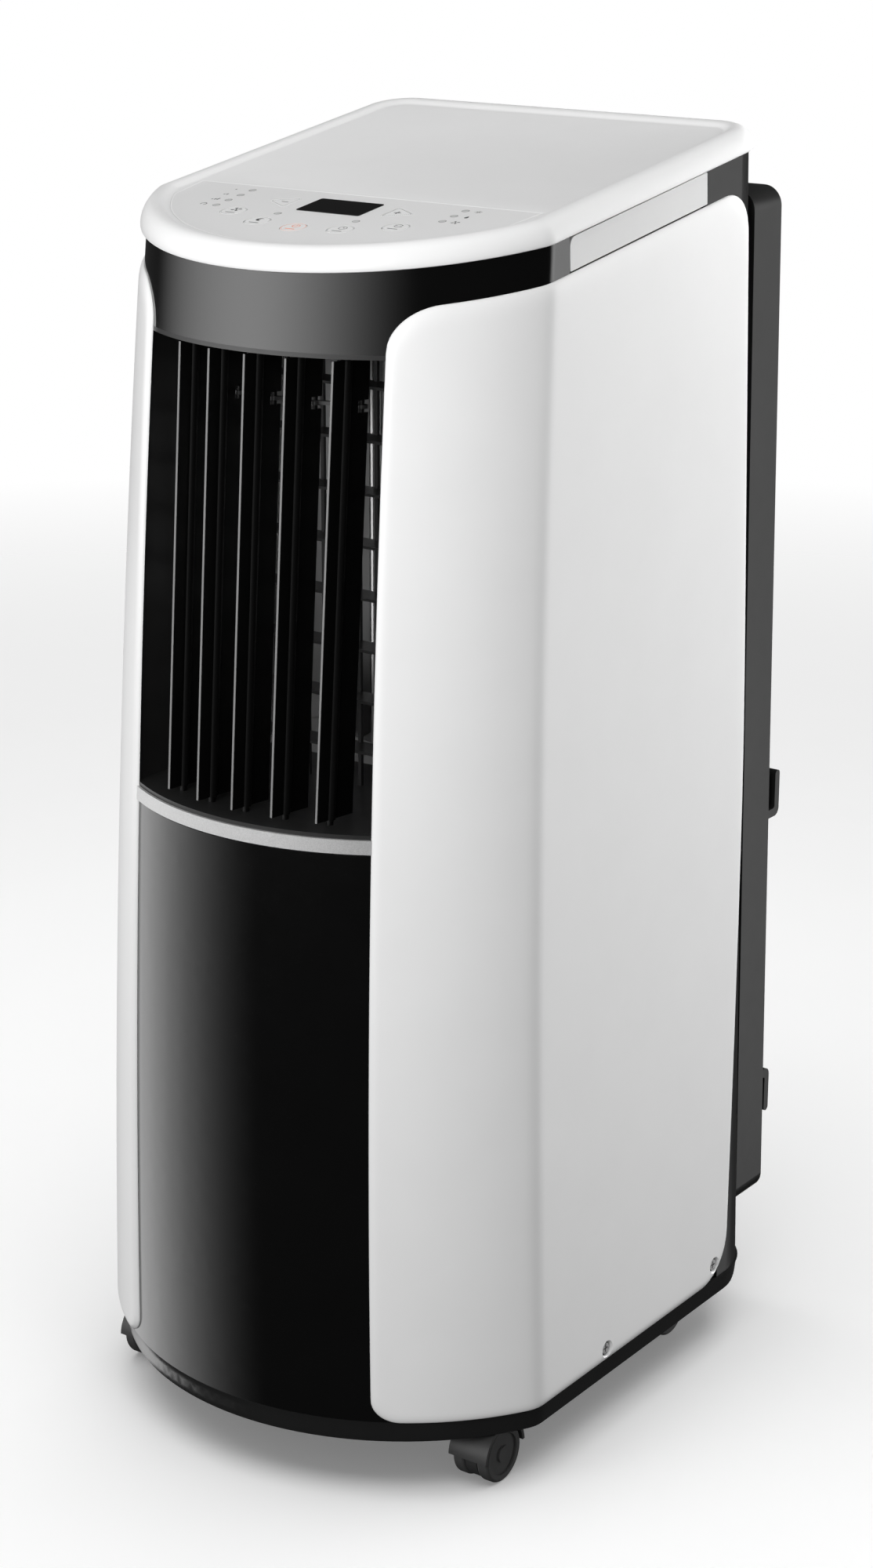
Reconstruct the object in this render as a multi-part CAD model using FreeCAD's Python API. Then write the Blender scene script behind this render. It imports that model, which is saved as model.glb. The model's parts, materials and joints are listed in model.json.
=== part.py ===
import FreeCAD, Part
import math
import os

V = FreeCAD.Vector
os.makedirs("parts", exist_ok=True)

# Portable air conditioner on castors. Millimetres, +Z up, the air outlet faces -Y.
# The origin lies on the floor, under the middle of the machine's own box.

# ---- outer form: a barrel that widens and leans forward towards its foot
PLINTH_Z = 36.0            # lower edge of the plinth above the floor
PANEL_FOOT_Z = 50.0        # top of the plinth, foot of every outer panel
BASE_HALF = 160.5          # half-width at the plinth
TOP_HALF = 137.6           # half-width at the lid
FRONT_Y = -183.2           # front face halfway up
FRONT_BULGE = 8.9          # how far the middle of the front stands out
FRONT_LEAN = 17.0          # how far the foot stands in front of the middle
REAR_Y = 158.0             # flat back of the casing
BOW = 94.0                 # depth of the bowed front, from its middle to its corners
FRONT_CORNER_R = 23.0
REAR_CORNER_BASE_R = 46.0
REAR_CORNER_TOP_R = 30.0
MID_Z = 400.0              # height about which bulge and lean are measured
HALF_SPAN = 340.0

# ---- lid plane: it slopes down towards the user
TILT = 8.28
LID_REAR_Y = 156.5
LID_REAR_Z = 756.2         # lower edge of the lid at the back
LID_HEIGHT = 12.6
LID_SEAM = 0.8             # dark gap under the lid
LID_SLOPE_LENGTH = 329.0

# ---- walls and outer panels
PANEL_PROUD = 3.0          # white panels stand this far proud of the black body
SKIN = 2.5
PANEL_DROP = 20.3          # from the lid's lower edge to the top of the side panels
INNER_EDGE_X = 85.0        # inner edge of a side panel, at MID_Z
INNER_EDGE_TAPER = 4.0     # the edge moves in by this much over HALF_SPAN
INNER_TOP_R = 22.0
INNER_FOOT_R = 14.0
REAR_EDGE_FOOT_Y = 109.0
REAR_EDGE_MID_Y = 133.5
REAR_EDGE_TOP_Y = 134.5
REAR_TOP_R = 25.0
REAR_FOOT_R = 30.0
LAP = 12.0                 # black panels run this far behind the white ones
PANEL_SCREWS = ((-33.0, 58.0), (93.0, 62.0))
PANEL_SCREW_RECESS_R = 4.6
PANEL_SCREW_HEAD_R = 3.4

# ---- air outlet
OUTLET_TOP = 667.6
OUTLET_FOOT = 403.0
TRIM_HEIGHT = 8.0
TRIM_GAP = 1.2
TRIM_STAND = 1.5
DUCT_HALF = 88.0
DUCT_WALL = 2.5
DUCT_REAR_Y = -62.0
VANE_COUNT = 5
VANE_PITCH = 26.4
VANE_CHORD = 33.0
VANE_NOSE = 13.0           # from the front edge to the pivot
VANE_THICK = 1.8
VANE_END_GAP = 3.0
VANE_SET_BACK = 4.0        # vane noses behind the body's outer face
VANE_PIN_R = 2.0
PIN_CLEARANCE = 0.05
CRANK_ARM = 15.0           # from a vane's pivot back to its link pin
CRANK_PIN_R = 1.3
LINK_CLEARANCE = 0.35
LINK_THICK = 2.0
LINK_HALF = 3.2
LINK_SLOT_HEIGHT = 7.0     # notch in each vane that the link runs through
GUIDE_PITCH = 30.0
GUIDE_DEPTH = 16.0
GUIDE_THICK = 1.6
GUARD_BAR = 2.2
GUARD_PITCH = 12.5
GUARD_Y = -112.0

# ---- fans and heat exchangers
UPPER_AXIS_Y = 8.0
UPPER_WHEEL_R = 52.0
UPPER_SHAFT_R = 4.0
CAGE_BLADES = 28
CAGE_BLADE_DEPTH = 13.0
CAGE_BLADE_THICK = 1.2
CAGE_PLATE = 3.0
UPPER_MOTOR_R = 36.0
UPPER_MOTOR_H = 34.0
SCROLL_WALL = 2.2
SCROLL_REACH = 26.0        # the lower scroll ends this far behind the coil's front
TRAY_TOP = 395.0
TRAY_HEIGHT = 14.0
TRAY_GAP = 0.5
COIL_Y = 102.0
COIL_DEPTH = 28.0
EVAPORATOR_HALF = 104.0
EVAPORATOR_TOP = 690.0
CONDENSER_HALF = 118.0
CONDENSER_TOP = 196.0
CONDENSER_LIFT = 5.0      # over the rear castor sockets
COIL_TUBE_R = 4.2
COIL_ROW_PITCH = 24.0
LOWER_AXIS_Y = 26.0
LOWER_AXIS_Z = 258.0
LOWER_WHEEL_R = 56.0
LOWER_WHEEL_HALF = 30.0
LOWER_MOTOR_R = 34.0
LOWER_MOTOR_LENGTH = 40.0
COMPRESSOR_R = 50.0
COMPRESSOR_X = -48.0
COMPRESSOR_Y = -92.0
COMPRESSOR_H = 178.0
CONTROL_BOX = (64.0, 84.0, 150.0)
CONTROL_BOX_X = 34.0
CONTROL_BOX_Y = -134.0

# ---- back of the machine
BULGE_TOP_HALF = 130.0
BULGE_FOOT_HALF = 140.0
BULGE_TOP = 727.0
BULGE_FOOT = 74.0
BULGE_REAR_Y = 184.5
BULGE_CORNER_R = 12.0
FILTER_FOOT = 342.0
FILTER_TOP = 713.0
FILTER_HALF = 118.0
FILTER_THICK = 9.0
FILTER_GAP = 1.0
FILTER_FRAME = 9.0
FILTER_BAR = 2.4
FILTER_PITCH_X = 21.0
FILTER_PITCH_Z = 13.0
LOWER_FILTER_TOP = 182.0
LOWER_FILTER_FOOT = 96.0
LOWER_FILTER_HALF = 104.0
CLASP_FOOT = 561.0         # finger tab on the upper filter's side
CLASP_TOP = 591.0
COLLAR_X = 0.0
COLLAR_Z = 262.0
COLLAR_R = 62.0
COLLAR_WALL = 2.6
COLLAR_STEP = 0.6          # the collar is narrower inside the casing than at its mouth
COLLAR_STAND = 11.0
DRAIN_Z = 84.0
DRAIN_X = -70.0
DRAIN_BORE_R = 6.0
GLAND_X = 122.0
GLAND_Z = 214.0
CORD_BORE_R = 3.7
HOOK_X = 131.0
HOOK_WIDTH = 10.0
HOOK_REACH = 12.8
HOOK_PRONG = 5.4
HOOK_UPPER_Z = 330.0
HOOK_LOWER_Z = 156.0
HOOK_RISE = 30.0

# ---- carrying handles
HANDLE_FRONT_Y = -55.0
HANDLE_REAR_Y = 88.5
HANDLE_GAP = 0.5
FLAP_THICK = 2.2
FLAP_PIN_R = 1.2
POCKET_DEPTH = 34.0
POCKET_WALL = 2.0

# ---- controls on the lid, along the lid's own slope
RECESS_INSET = 12.0
RECESS_DEPTH = 2.4
FILM_THICK = 0.5
FILM_REAR = -212.0         # distance along the slope, measured forward from the lid's back
DISPLAY_HALF = 21.8
DISPLAY_DEPTH = 25.0
DISPLAY_FRONT = -250.0
KEY_R = 7.5
KEY_HEIGHT = 3.0
KEY_EDGE_R = 0.4
BOARD_HALF = 88.0
BOARD_THICK = 2.2
BOARD_POST_R = 3.0
LID_SKIN = 3.0             # of the lid's floor
KEY_TRAVEL_GAP = 0.5
KEY_SLOT = 0.35
POINTED_KEYS = {"key_minus": -1, "key_plus": 1}     # rounded triangles, pointing left and right
POINTED_REACH = 11.6       # from the middle to a corner, before it is rounded
POINTED_CORNER_R = 1.8
KEYS = (("key_fan", -56.0, -262.0), ("key_sleep", -28.5, -275.5), ("key_power", 0.0, -280.0),
        ("key_timer", 28.5, -275.5), ("key_mode", 56.0, -262.0),
        ("key_minus", -39.0, -237.0), ("key_plus", 39.0, -237.0))
LED_R = 1.9
LEDS = ((-74.0, -222.0), (-74.0, -233.0), (-74.0, -244.0), (-74.0, -255.0),
        (-27.0, -259.0), (27.0, -259.0),
        (74.0, -222.0), (74.0, -233.0), (74.0, -244.0))

# ---- castors
CASTOR_X = 127.0
CASTOR_FRONT_Y = -101.0
CASTOR_REAR_Y = 112.0
CASTOR_REAR_X = 112.0
WHEEL_R = 17.5
WHEEL_WIDTH = 8.0
WEB_HALF = 4.0
WHEEL_GAP = 0.5
HOOD_R = 20.5
HOOD_GAP = 1.0
TRAIL = 12.0
SWIVEL_R = 20.5            # hood reach about its kingpin, above the plinth's lower edge
PLINTH_CLEAR = 0.4
PLINTH_INSET = 4.0         # the plinth stands in from the panels above it
PLINTH_WALL = 4.0
STEM_R = 5.0
STEM_TOP = 57.0
AXLE_R = 2.5
FLOOR_Z = 42.0
FLOOR_THICK = 3.0
BOSS_R = 9.0

LEVELS = (30.0, 215.0, 400.0, 585.0, 790.0)
FAR = 400.0                # longer than any piece, for cutting tools
HEIGHT_LIMIT = 900.0       # above everything


def half_width(z):
    return BASE_HALF - (BASE_HALF - TOP_HALF) * (z - PLINTH_Z) / (LID_REAR_Z - PLINTH_Z)


def front_y(z):
    t = (z - MID_Z) / HALF_SPAN
    return FRONT_Y - FRONT_BULGE * (1 - t * t) + FRONT_LEAN * t


def rear_radius(z):
    share = (z - PLINTH_Z) / (LID_REAR_Z - PLINTH_Z)
    return REAR_CORNER_BASE_R + (REAR_CORNER_TOP_R - REAR_CORNER_BASE_R) * share


def bow_radius(half):
    return (half * half + BOW * BOW) / (2 * BOW)


def surface_y(x, z, inset=0.0):
    """The front face's y at x and z, moved inwards by inset."""
    radius = bow_radius(half_width(z))
    inner = radius - inset
    return front_y(z) + radius - math.sqrt(inner * inner - x * x)


def inner_edge_x(z):
    return INNER_EDGE_X - INNER_EDGE_TAPER * (z - MID_Z) / HALF_SPAN


def plan(half, yf, r, yb, rb, z, inset):
    """Closed plan outline: bowed front, four round corners, straight sides and back."""
    radius = bow_radius(half)
    centre = yf + radius
    fx = half - r
    fy = centre - math.sqrt((radius - r) ** 2 - fx * fx)
    lean = math.atan2(fy - centre, fx)
    big = radius - inset
    small = r - inset
    rear = rb - inset
    side = half - inset
    touch_x = big * math.cos(lean)
    touch_y = centre + big * math.sin(lean)
    mid_x = fx + small * math.cos(lean / 2)
    mid_y = fy + small * math.sin(lean / 2)
    cx = half - rb
    cy = yb - rb
    d = rear * math.sqrt(0.5)
    edges = [Part.Arc(V(-touch_x, touch_y, z), V(0, yf + inset, z), V(touch_x, touch_y, z)),
             Part.Arc(V(touch_x, touch_y, z), V(mid_x, mid_y, z), V(side, fy, z)),
             Part.LineSegment(V(side, fy, z), V(side, cy, z)),
             Part.Arc(V(side, cy, z), V(cx + d, cy + d, z), V(cx, yb - inset, z)),
             Part.LineSegment(V(cx, yb - inset, z), V(-cx, yb - inset, z)),
             Part.Arc(V(-cx, yb - inset, z), V(-cx - d, cy + d, z), V(-side, cy, z)),
             Part.LineSegment(V(-side, cy, z), V(-side, fy, z)),
             Part.Arc(V(-side, fy, z), V(-mid_x, mid_y, z), V(-touch_x, touch_y, z))]
    return Part.Wire([e.toShape() for e in edges])


def body_section(z, inset):
    return plan(half_width(z), front_y(z), FRONT_CORNER_R, REAR_Y, rear_radius(z), z, inset)


def body(inset):
    """The whole outer form, moved inwards by inset."""
    return Part.makeLoft([body_section(z, inset) for z in LEVELS], True, False)


def box(x0, x1, y0, y1, z0, z1):
    return Part.makeBox(x1 - x0, y1 - y0, z1 - z0, V(x0, y0, z0))


def rod(r, start, axis, length):
    return Part.makeCylinder(r, length, V(*start), V(*axis))


def tube(r, wall, start, axis, length):
    return rod(r, start, axis, length).cut(rod(r - wall, start, axis, length))


def rounded(points, radii, place):
    """Closed wire through 2-D points with a tangent arc at each; place puts them in space."""
    n = len(points)
    ends = []
    for i, (x, y) in enumerate(points):
        px, py = points[i - 1]
        qx, qy = points[(i + 1) % n]
        a = math.hypot(px - x, py - y)
        b = math.hypot(qx - x, qy - y)
        ux, uy = (px - x) / a, (py - y) / a
        wx, wy = (qx - x) / b, (qy - y) / b
        half = math.acos(max(-1, min(1, ux * wx + uy * wy))) / 2
        t = radii[i] / math.tan(half) if radii[i] else 0.0
        k = radii[i] / math.sin(half) - radii[i] if radii[i] else 0.0
        bx, by = ux + wx, uy + wy
        m = math.hypot(bx, by)
        ends.append(((x + ux * t, y + uy * t), (x + bx / m * k, y + by / m * k) if m else (x, y),
                     (x + wx * t, y + wy * t), radii[i]))
    edges = []
    for i in range(n):
        first, middle, last, r = ends[i]
        if r:
            edges.append(Part.Arc(place(*first), place(*middle), place(*last)).toShape())
        following = ends[(i + 1) % n][0]
        if math.hypot(following[0] - last[0], following[1] - last[1]) > 1e-6:
            edges.append(Part.LineSegment(place(*last), place(*following)).toShape())
    return Part.Wire(edges)


def prism_x(points, radii, x0, x1):
    wire = rounded(points, radii, lambda y, z: V(x0, y, z))
    return Part.Face(wire).extrude(V(x1 - x0, 0, 0))


def prism_y(points, radii, y0, y1):
    wire = rounded(points, radii, lambda x, z: V(x, y0, z))
    return Part.Face(wire).extrude(V(0, y1 - y0, 0))


def prism_z(points, radii, z0, z1):
    wire = rounded(points, radii, lambda x, y: V(x, y, z0))
    return Part.Face(wire).extrude(V(0, 0, z1 - z0))


def mirrored(shape):
    return shape.mirror(V(0, 0, 0), V(1, 0, 0))


def joined(shapes):
    whole = shapes[0]
    if len(shapes) > 1:
        whole = shapes[0].multiFuse(shapes[1:])
    return whole.removeSplitter()


def lid_line(y, drop):
    """Height of the plane that runs drop below the lid's lower edge, at y."""
    slope = math.radians(TILT)
    return LID_REAR_Z + (y - LID_REAR_Y) * math.tan(slope) - drop / math.cos(slope)


LID_PLACE = FreeCAD.Placement(V(0, LID_REAR_Y, LID_REAR_Z), FreeCAD.Rotation(V(1, 0, 0), TILT))


def on_lid(shape):
    """Takes a shape from the lid's own frame, x across, y up the slope, z out of it."""
    placed = shape.copy()
    placed.Placement = LID_PLACE.multiply(shape.Placement)
    return placed


def save(name, shape):
    if not shape.isValid():
        print("INVALID", name)
    solids = shape.Solids
    if not solids:
        raise RuntimeError("no solid in " + name)
    keep = solids[0] if len(solids) == 1 else Part.makeCompound(solids)
    keep.exportStep("parts/" + name + ".step")
    print("%-22s %3d solid %10.0f mm3" % (name, len(solids), sum(s.Volume for s in solids)))


OUTER = body(0.0)
BLACK = body(PANEL_PROUD)
INNER = body(PANEL_PROUD + SKIN)
UNDER_LID = on_lid(box(-FAR, FAR, -2 * FAR, FAR, -4 * FAR, -LID_SEAM))
BLACK_SHELL = BLACK.cut(INNER)


def side_view(y_front, y_foot, y_mid, y_top, foot, drop, foot_r, top_r):
    """Side region, by its rear edge, foot and sloping top, through the whole width."""
    top = lid_line(y_top, drop)
    points = [(y_front, foot), (y_foot, foot), (y_mid, MID_Z), (y_top, top),
              (y_front, lid_line(y_front, drop))]
    return points, [0, foot_r, 2500.0, top_r, 0]


def side_panels():
    """White side panels, wrapped round the front corners."""
    points, radii = side_view(-FAR, REAR_EDGE_FOOT_Y, REAR_EDGE_MID_Y, REAR_EDGE_TOP_Y,
                              PANEL_FOOT_Z, PANEL_DROP, REAR_FOOT_R, REAR_TOP_R)
    sides = prism_x(points, radii, 0, FAR)
    foot_x = inner_edge_x(PANEL_FOOT_Z)
    corner_z = lid_line(surface_y(INNER_EDGE_X + INNER_TOP_R, OUTLET_TOP), PANEL_DROP)
    top_x = inner_edge_x(corner_z)
    front = prism_y([(foot_x, PANEL_FOOT_Z), (FAR, PANEL_FOOT_Z), (FAR, HEIGHT_LIMIT),
                     (top_x + INNER_TOP_R, HEIGHT_LIMIT), (top_x + INNER_TOP_R, corner_z),
                     (top_x, corner_z)],
                    [INNER_FOOT_R, 0, 0, 0, 0, INNER_TOP_R], -FAR, FAR)
    shell = OUTER.cut(BLACK).common(box(0, FAR, -FAR, FAR, 0, HEIGHT_LIMIT))
    right = shell.common(sides).common(front)
    for y, z in PANEL_SCREWS:
        right = right.cut(rod(PANEL_SCREW_RECESS_R, (0, y, z), (1, 0, 0), FAR))
    save("side_panel_right", right)
    save("side_panel_left", mirrored(right))
    screws = []
    for y, z in PANEL_SCREWS:
        face = half_width(z) - PANEL_PROUD
        shank = rod(2.0, (face - 10.0, y, z), (1, 0, 0), 10.5)
        head = rod(PANEL_SCREW_HEAD_R, (face, y, z), (1, 0, 0), 1.6)
        slots = box(face + 0.8, face + 3, y - 2.4, y + 2.4, z - 0.5, z + 0.5)
        slots = slots.fuse(box(face + 0.8, face + 3, y - 0.5, y + 0.5, z - 2.4, z + 2.4))
        screws.append(head.cut(slots).fuse(shank))
    save("panel_screws", Part.makeCompound(screws + [mirrored(s) for s in screws]))
    return screws


def drilled(shape, screws):
    """Cuts the panel screws' shanks out of a wall they pass through, on both sides."""
    for screw in screws:
        shape = shape.cut(screw).cut(mirrored(screw))
    return shape


def front_panels():
    """Piano-black front: the band over the outlet, the panel under it, and the silver bow."""
    lower_top = OUTLET_FOOT - TRIM_HEIGHT - TRIM_GAP
    reach = INNER_EDGE_X + LAP
    lower = BLACK_SHELL.common(box(-reach, reach, -FAR, 0, PANEL_FOOT_Z, lower_top))
    save("lower_front_panel", lower)
    centre = box(-reach, reach, -FAR, -60, OUTLET_TOP, HEIGHT_LIMIT)
    front_end = HANDLE_FRONT_Y - HANDLE_GAP
    low = PANEL_DROP + LAP
    sides = prism_x([(-FAR, lid_line(-FAR, low)), (front_end, lid_line(front_end, low)),
                     (front_end, HEIGHT_LIMIT), (-FAR, HEIGHT_LIMIT)], [0, 0, 0, 0], -FAR, FAR)
    band = BLACK_SHELL.common(centre.fuse(sides)).common(UNDER_LID)
    save("upper_band", band)
    bow = body(PANEL_PROUD - TRIM_STAND).cut(INNER)
    half = inner_edge_x(OUTLET_FOOT) - 0.4
    trim = bow.common(box(-half, half, -FAR, 0, OUTLET_FOOT - TRIM_HEIGHT, OUTLET_FOOT))
    save("outlet_trim", trim)


def vane_line(x):
    """A vane's pivot axis at x: its lower point and its upper point."""
    setback = PANEL_PROUD + VANE_SET_BACK + VANE_NOSE
    return [V(x, surface_y(x, z) + setback, z) for z in (OUTLET_FOOT, OUTLET_TOP)]


def vane_frame(x):
    """Placement whose z runs up the pivot axis at x, with y towards the back."""
    low, high = vane_line(x)
    lean = math.degrees(math.atan2(high.y - low.y, high.z - low.z))
    return FreeCAD.Placement(low, FreeCAD.Rotation(V(1, 0, 0), -lean)), (high - low).Length


def placed(shape, frame):
    moved = shape.copy()
    moved.Placement = frame.multiply(shape.Placement)
    return moved


VANE_XS = [(i - (VANE_COUNT - 1) / 2) * VANE_PITCH for i in range(VANE_COUNT)]


def vanes():
    """Vertical swing vanes, each a thin blade on two pins, joined by one link."""
    link_z = 0
    for i, x in enumerate(VANE_XS):
        frame, length = vane_frame(x)
        low = VANE_END_GAP + DUCT_WALL
        high = length - VANE_END_GAP - DUCT_WALL
        tail = VANE_CHORD - VANE_NOSE
        blade = prism_z([(-VANE_THICK / 2, -VANE_NOSE), (VANE_THICK / 2, -VANE_NOSE),
                         (VANE_THICK / 2, tail), (-VANE_THICK / 2, tail)],
                        [0.7, 0.7, 0.7, 0.7], low, high)
        hub = rod(VANE_PIN_R + 1.0, (0, 0, low), (0, 0, 1), high - low)
        pin = rod(VANE_PIN_R, (0, 0, DUCT_WALL * 0.2), (0, 0, 1), length - DUCT_WALL * 0.4)
        link_z = high - 26.0
        notch = box(-5, 5, CRANK_ARM - LINK_HALF - 1.5, tail + 1,
                    link_z - LINK_SLOT_HEIGHT / 2, link_z + LINK_SLOT_HEIGHT / 2)
        crank = rod(CRANK_PIN_R, (0, CRANK_ARM, link_z - LINK_SLOT_HEIGHT / 2 - 1), (0, 0, 1),
                    LINK_SLOT_HEIGHT + 2)
        vane = joined([blade.cut(notch), hub, pin, crank])
        save("vane_%d" % (i + 1), placed(vane, frame))
    pieces = []
    middle, _ = vane_frame(0)
    first = None
    for x in VANE_XS:
        frame, _ = vane_frame(x)
        at = middle.inverse().multVec(frame.multVec(V(0, CRANK_ARM, link_z)))
        half = LINK_HALF
        eye = rod(half, (at.x, at.y, at.z - LINK_THICK / 2), (0, 0, 1), LINK_THICK)
        if first is not None:
            run = prism_z([(first.x, first.y - half * 0.6), (at.x, at.y - half * 0.6),
                           (at.x, at.y + half * 0.6), (first.x, first.y + half * 0.6)],
                          [0, 0, 0, 0], at.z - LINK_THICK / 2, at.z + LINK_THICK / 2)
            pieces.append(run)
        pieces.append(eye)
        first = at
    bar = joined(pieces)
    for x in VANE_XS:
        frame, _ = vane_frame(x)
        at = middle.inverse().multVec(frame.multVec(V(0, CRANK_ARM, link_z)))
        gap = PIN_CLEARANCE if x == 0 else LINK_CLEARANCE
        bar = bar.cut(rod(CRANK_PIN_R + gap, (at.x, at.y, at.z - 9), (0, 0, 1), 18))
    save("vane_link", placed(bar, middle))


def outlet():
    """Mouth of the outlet: floor, ceiling and cheeks, with its guard and guide louvres."""
    inner = DUCT_HALF - DUCT_WALL
    shell = box(-DUCT_HALF, DUCT_HALF, -FAR, DUCT_REAR_Y, OUTLET_FOOT, OUTLET_TOP)
    room = box(-inner, inner, -FAR, FAR, OUTLET_FOOT + DUCT_WALL, OUTLET_TOP - DUCT_WALL)
    duct = BLACK.common(shell).cut(room)
    for x in VANE_XS:
        frame, length = vane_frame(x)
        bore = rod(VANE_PIN_R + PIN_CLEARANCE, (0, 0, -20), (0, 0, 1), length + 40)
        duct = duct.cut(placed(bore, frame))
    save("outlet_duct", duct)
    low = OUTLET_FOOT + DUCT_WALL
    high = OUTLET_TOP - DUCT_WALL
    bars = []
    rows = int((high - low) // GUIDE_PITCH)
    start = (low + high - (rows - 1) * GUIDE_PITCH) / 2
    for i in range(rows):
        z = start + i * GUIDE_PITCH
        bars.append(box(-inner, inner, GUARD_Y, GUARD_Y + GUIDE_DEPTH, z, z + GUIDE_THICK))
    columns = int(2 * inner // GUARD_PITCH)
    edge = -(columns - 1) * GUARD_PITCH / 2
    rear = GUARD_Y + GUIDE_DEPTH
    for i in range(columns):
        x = edge + i * GUARD_PITCH
        bars.append(box(x - GUARD_BAR / 2, x + GUARD_BAR / 2, rear - GUARD_BAR, rear, low, high))
    save("outlet_guard", joined(bars))
    frame, length = vane_frame(0)
    seat = length + 1.4
    case = rod(13.0, (0, 0, seat), (0, 0, 1), 14.0)
    ears = box(-18, 18, -4, 4, seat, seat + 2.0)
    shaft = rod(3.0, (0, 0, seat + 14.0), (0, 0, 1), 2.0)
    save("vane_motor", placed(joined([case, ears, shaft]), frame))


def cage(radius, half, blades, centre_plate):
    """Squirrel-cage wheel about z, from -half to half."""
    inner = radius - CAGE_BLADE_DEPTH
    parts = []
    for z in (-half, half - CAGE_PLATE):
        parts.append(tube(radius, CAGE_BLADE_DEPTH + 1, (0, 0, z), (0, 0, 1), CAGE_PLATE))
    parts.append(rod(inner + 2, (0, 0, centre_plate), (0, 0, 1), CAGE_PLATE))
    for i in range(blades):
        blade = box(inner, radius - 1, -CAGE_BLADE_THICK / 2, CAGE_BLADE_THICK / 2, -half, half)
        blade.rotate(V((inner + radius) / 2, 0, 0), V(0, 0, 1), 38)
        blade.rotate(V(0, 0, 0), V(0, 0, 1), i * 360.0 / blades)
        parts.append(blade)
    return joined(parts)


def upper_fan():
    """Tall cross-flow wheel that draws room air in from the back and blows it forward."""
    low = OUTLET_FOOT + 6
    high = OUTLET_TOP - 8
    half = (high - low) / 2
    wheel = cage(UPPER_WHEEL_R, half, CAGE_BLADES, half - CAGE_PLATE)
    shaft = rod(UPPER_SHAFT_R, (0, 0, half - CAGE_PLATE), (0, 0, 1), 34.0)
    stub = rod(UPPER_SHAFT_R, (0, 0, -half - 4), (0, 0, 1), 8.0)
    foot = rod(UPPER_WHEEL_R - CAGE_BLADE_DEPTH + 2, (0, 0, -half), (0, 0, 1), CAGE_PLATE)
    wheel = joined([wheel, shaft, stub, foot])
    wheel.translate(V(0, UPPER_AXIS_Y, (low + high) / 2))
    save("upper_wheel", wheel)
    wall = SCROLL_WALL
    room = UPPER_WHEEL_R + 6
    left = Part.Wire([
        Part.LineSegment(V(-DUCT_HALF, DUCT_REAR_Y, 0), V(-DUCT_HALF + 4, UPPER_AXIS_Y - 20, 0)).toShape(),
        Part.Arc(V(-DUCT_HALF + 4, UPPER_AXIS_Y - 20, 0), V(-room * 0.98 - 6, UPPER_AXIS_Y + 34, 0),
                 V(-34, UPPER_AXIS_Y + room + 6, 0)).toShape()])
    right = Part.Wire([
        Part.LineSegment(V(DUCT_HALF, DUCT_REAR_Y, 0), V(room + 1, UPPER_AXIS_Y - 26, 0)).toShape(),
        Part.LineSegment(V(room + 1, UPPER_AXIS_Y - 26, 0), V(room + 4, UPPER_AXIS_Y + 8, 0)).toShape()])
    walls = []
    for wire, way in ((left, 1), (right, -1)):
        outer = wire.copy()
        outer.translate(V(way * wall, 0, 0))
        face = Part.makeRuledSurface(wire, outer)
        walls.append(face.extrude(V(0, 0, OUTLET_TOP - OUTLET_FOOT)))
    for piece in walls:
        piece.translate(V(0, 0, OUTLET_FOOT))
    plates = []
    for z in (OUTLET_FOOT, OUTLET_TOP - wall):
        plate = prism_z([(-DUCT_HALF, DUCT_REAR_Y), (DUCT_HALF, DUCT_REAR_Y),
                         (room + 4, UPPER_AXIS_Y + 30), (30, UPPER_AXIS_Y + room + 12),
                         (-34, UPPER_AXIS_Y + room + 12), (-room - 16, UPPER_AXIS_Y + 30)],
                        [0, 0, 10, 10, 10, 10], z, z + wall)
        plates.append(plate)
    scroll = joined(walls + plates)
    scroll = scroll.cut(rod(UPPER_SHAFT_R + PIN_CLEARANCE, (0, UPPER_AXIS_Y, 0), (0, 0, 1), FAR * 2))
    save("upper_scroll", scroll)
    base = OUTLET_TOP + 1.0
    motor = rod(UPPER_MOTOR_R, (0, UPPER_AXIS_Y, base), (0, 0, 1), UPPER_MOTOR_H)
    feet = box(-UPPER_MOTOR_R - 12, UPPER_MOTOR_R + 12, UPPER_AXIS_Y - 8, UPPER_AXIS_Y + 8,
               OUTLET_TOP, base + 2)
    motor = joined([motor, feet])
    motor = motor.cut(rod(UPPER_SHAFT_R + PIN_CLEARANCE, (0, UPPER_AXIS_Y, 0), (0, 0, 1), FAR * 2))
    save("upper_motor", motor)


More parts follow.
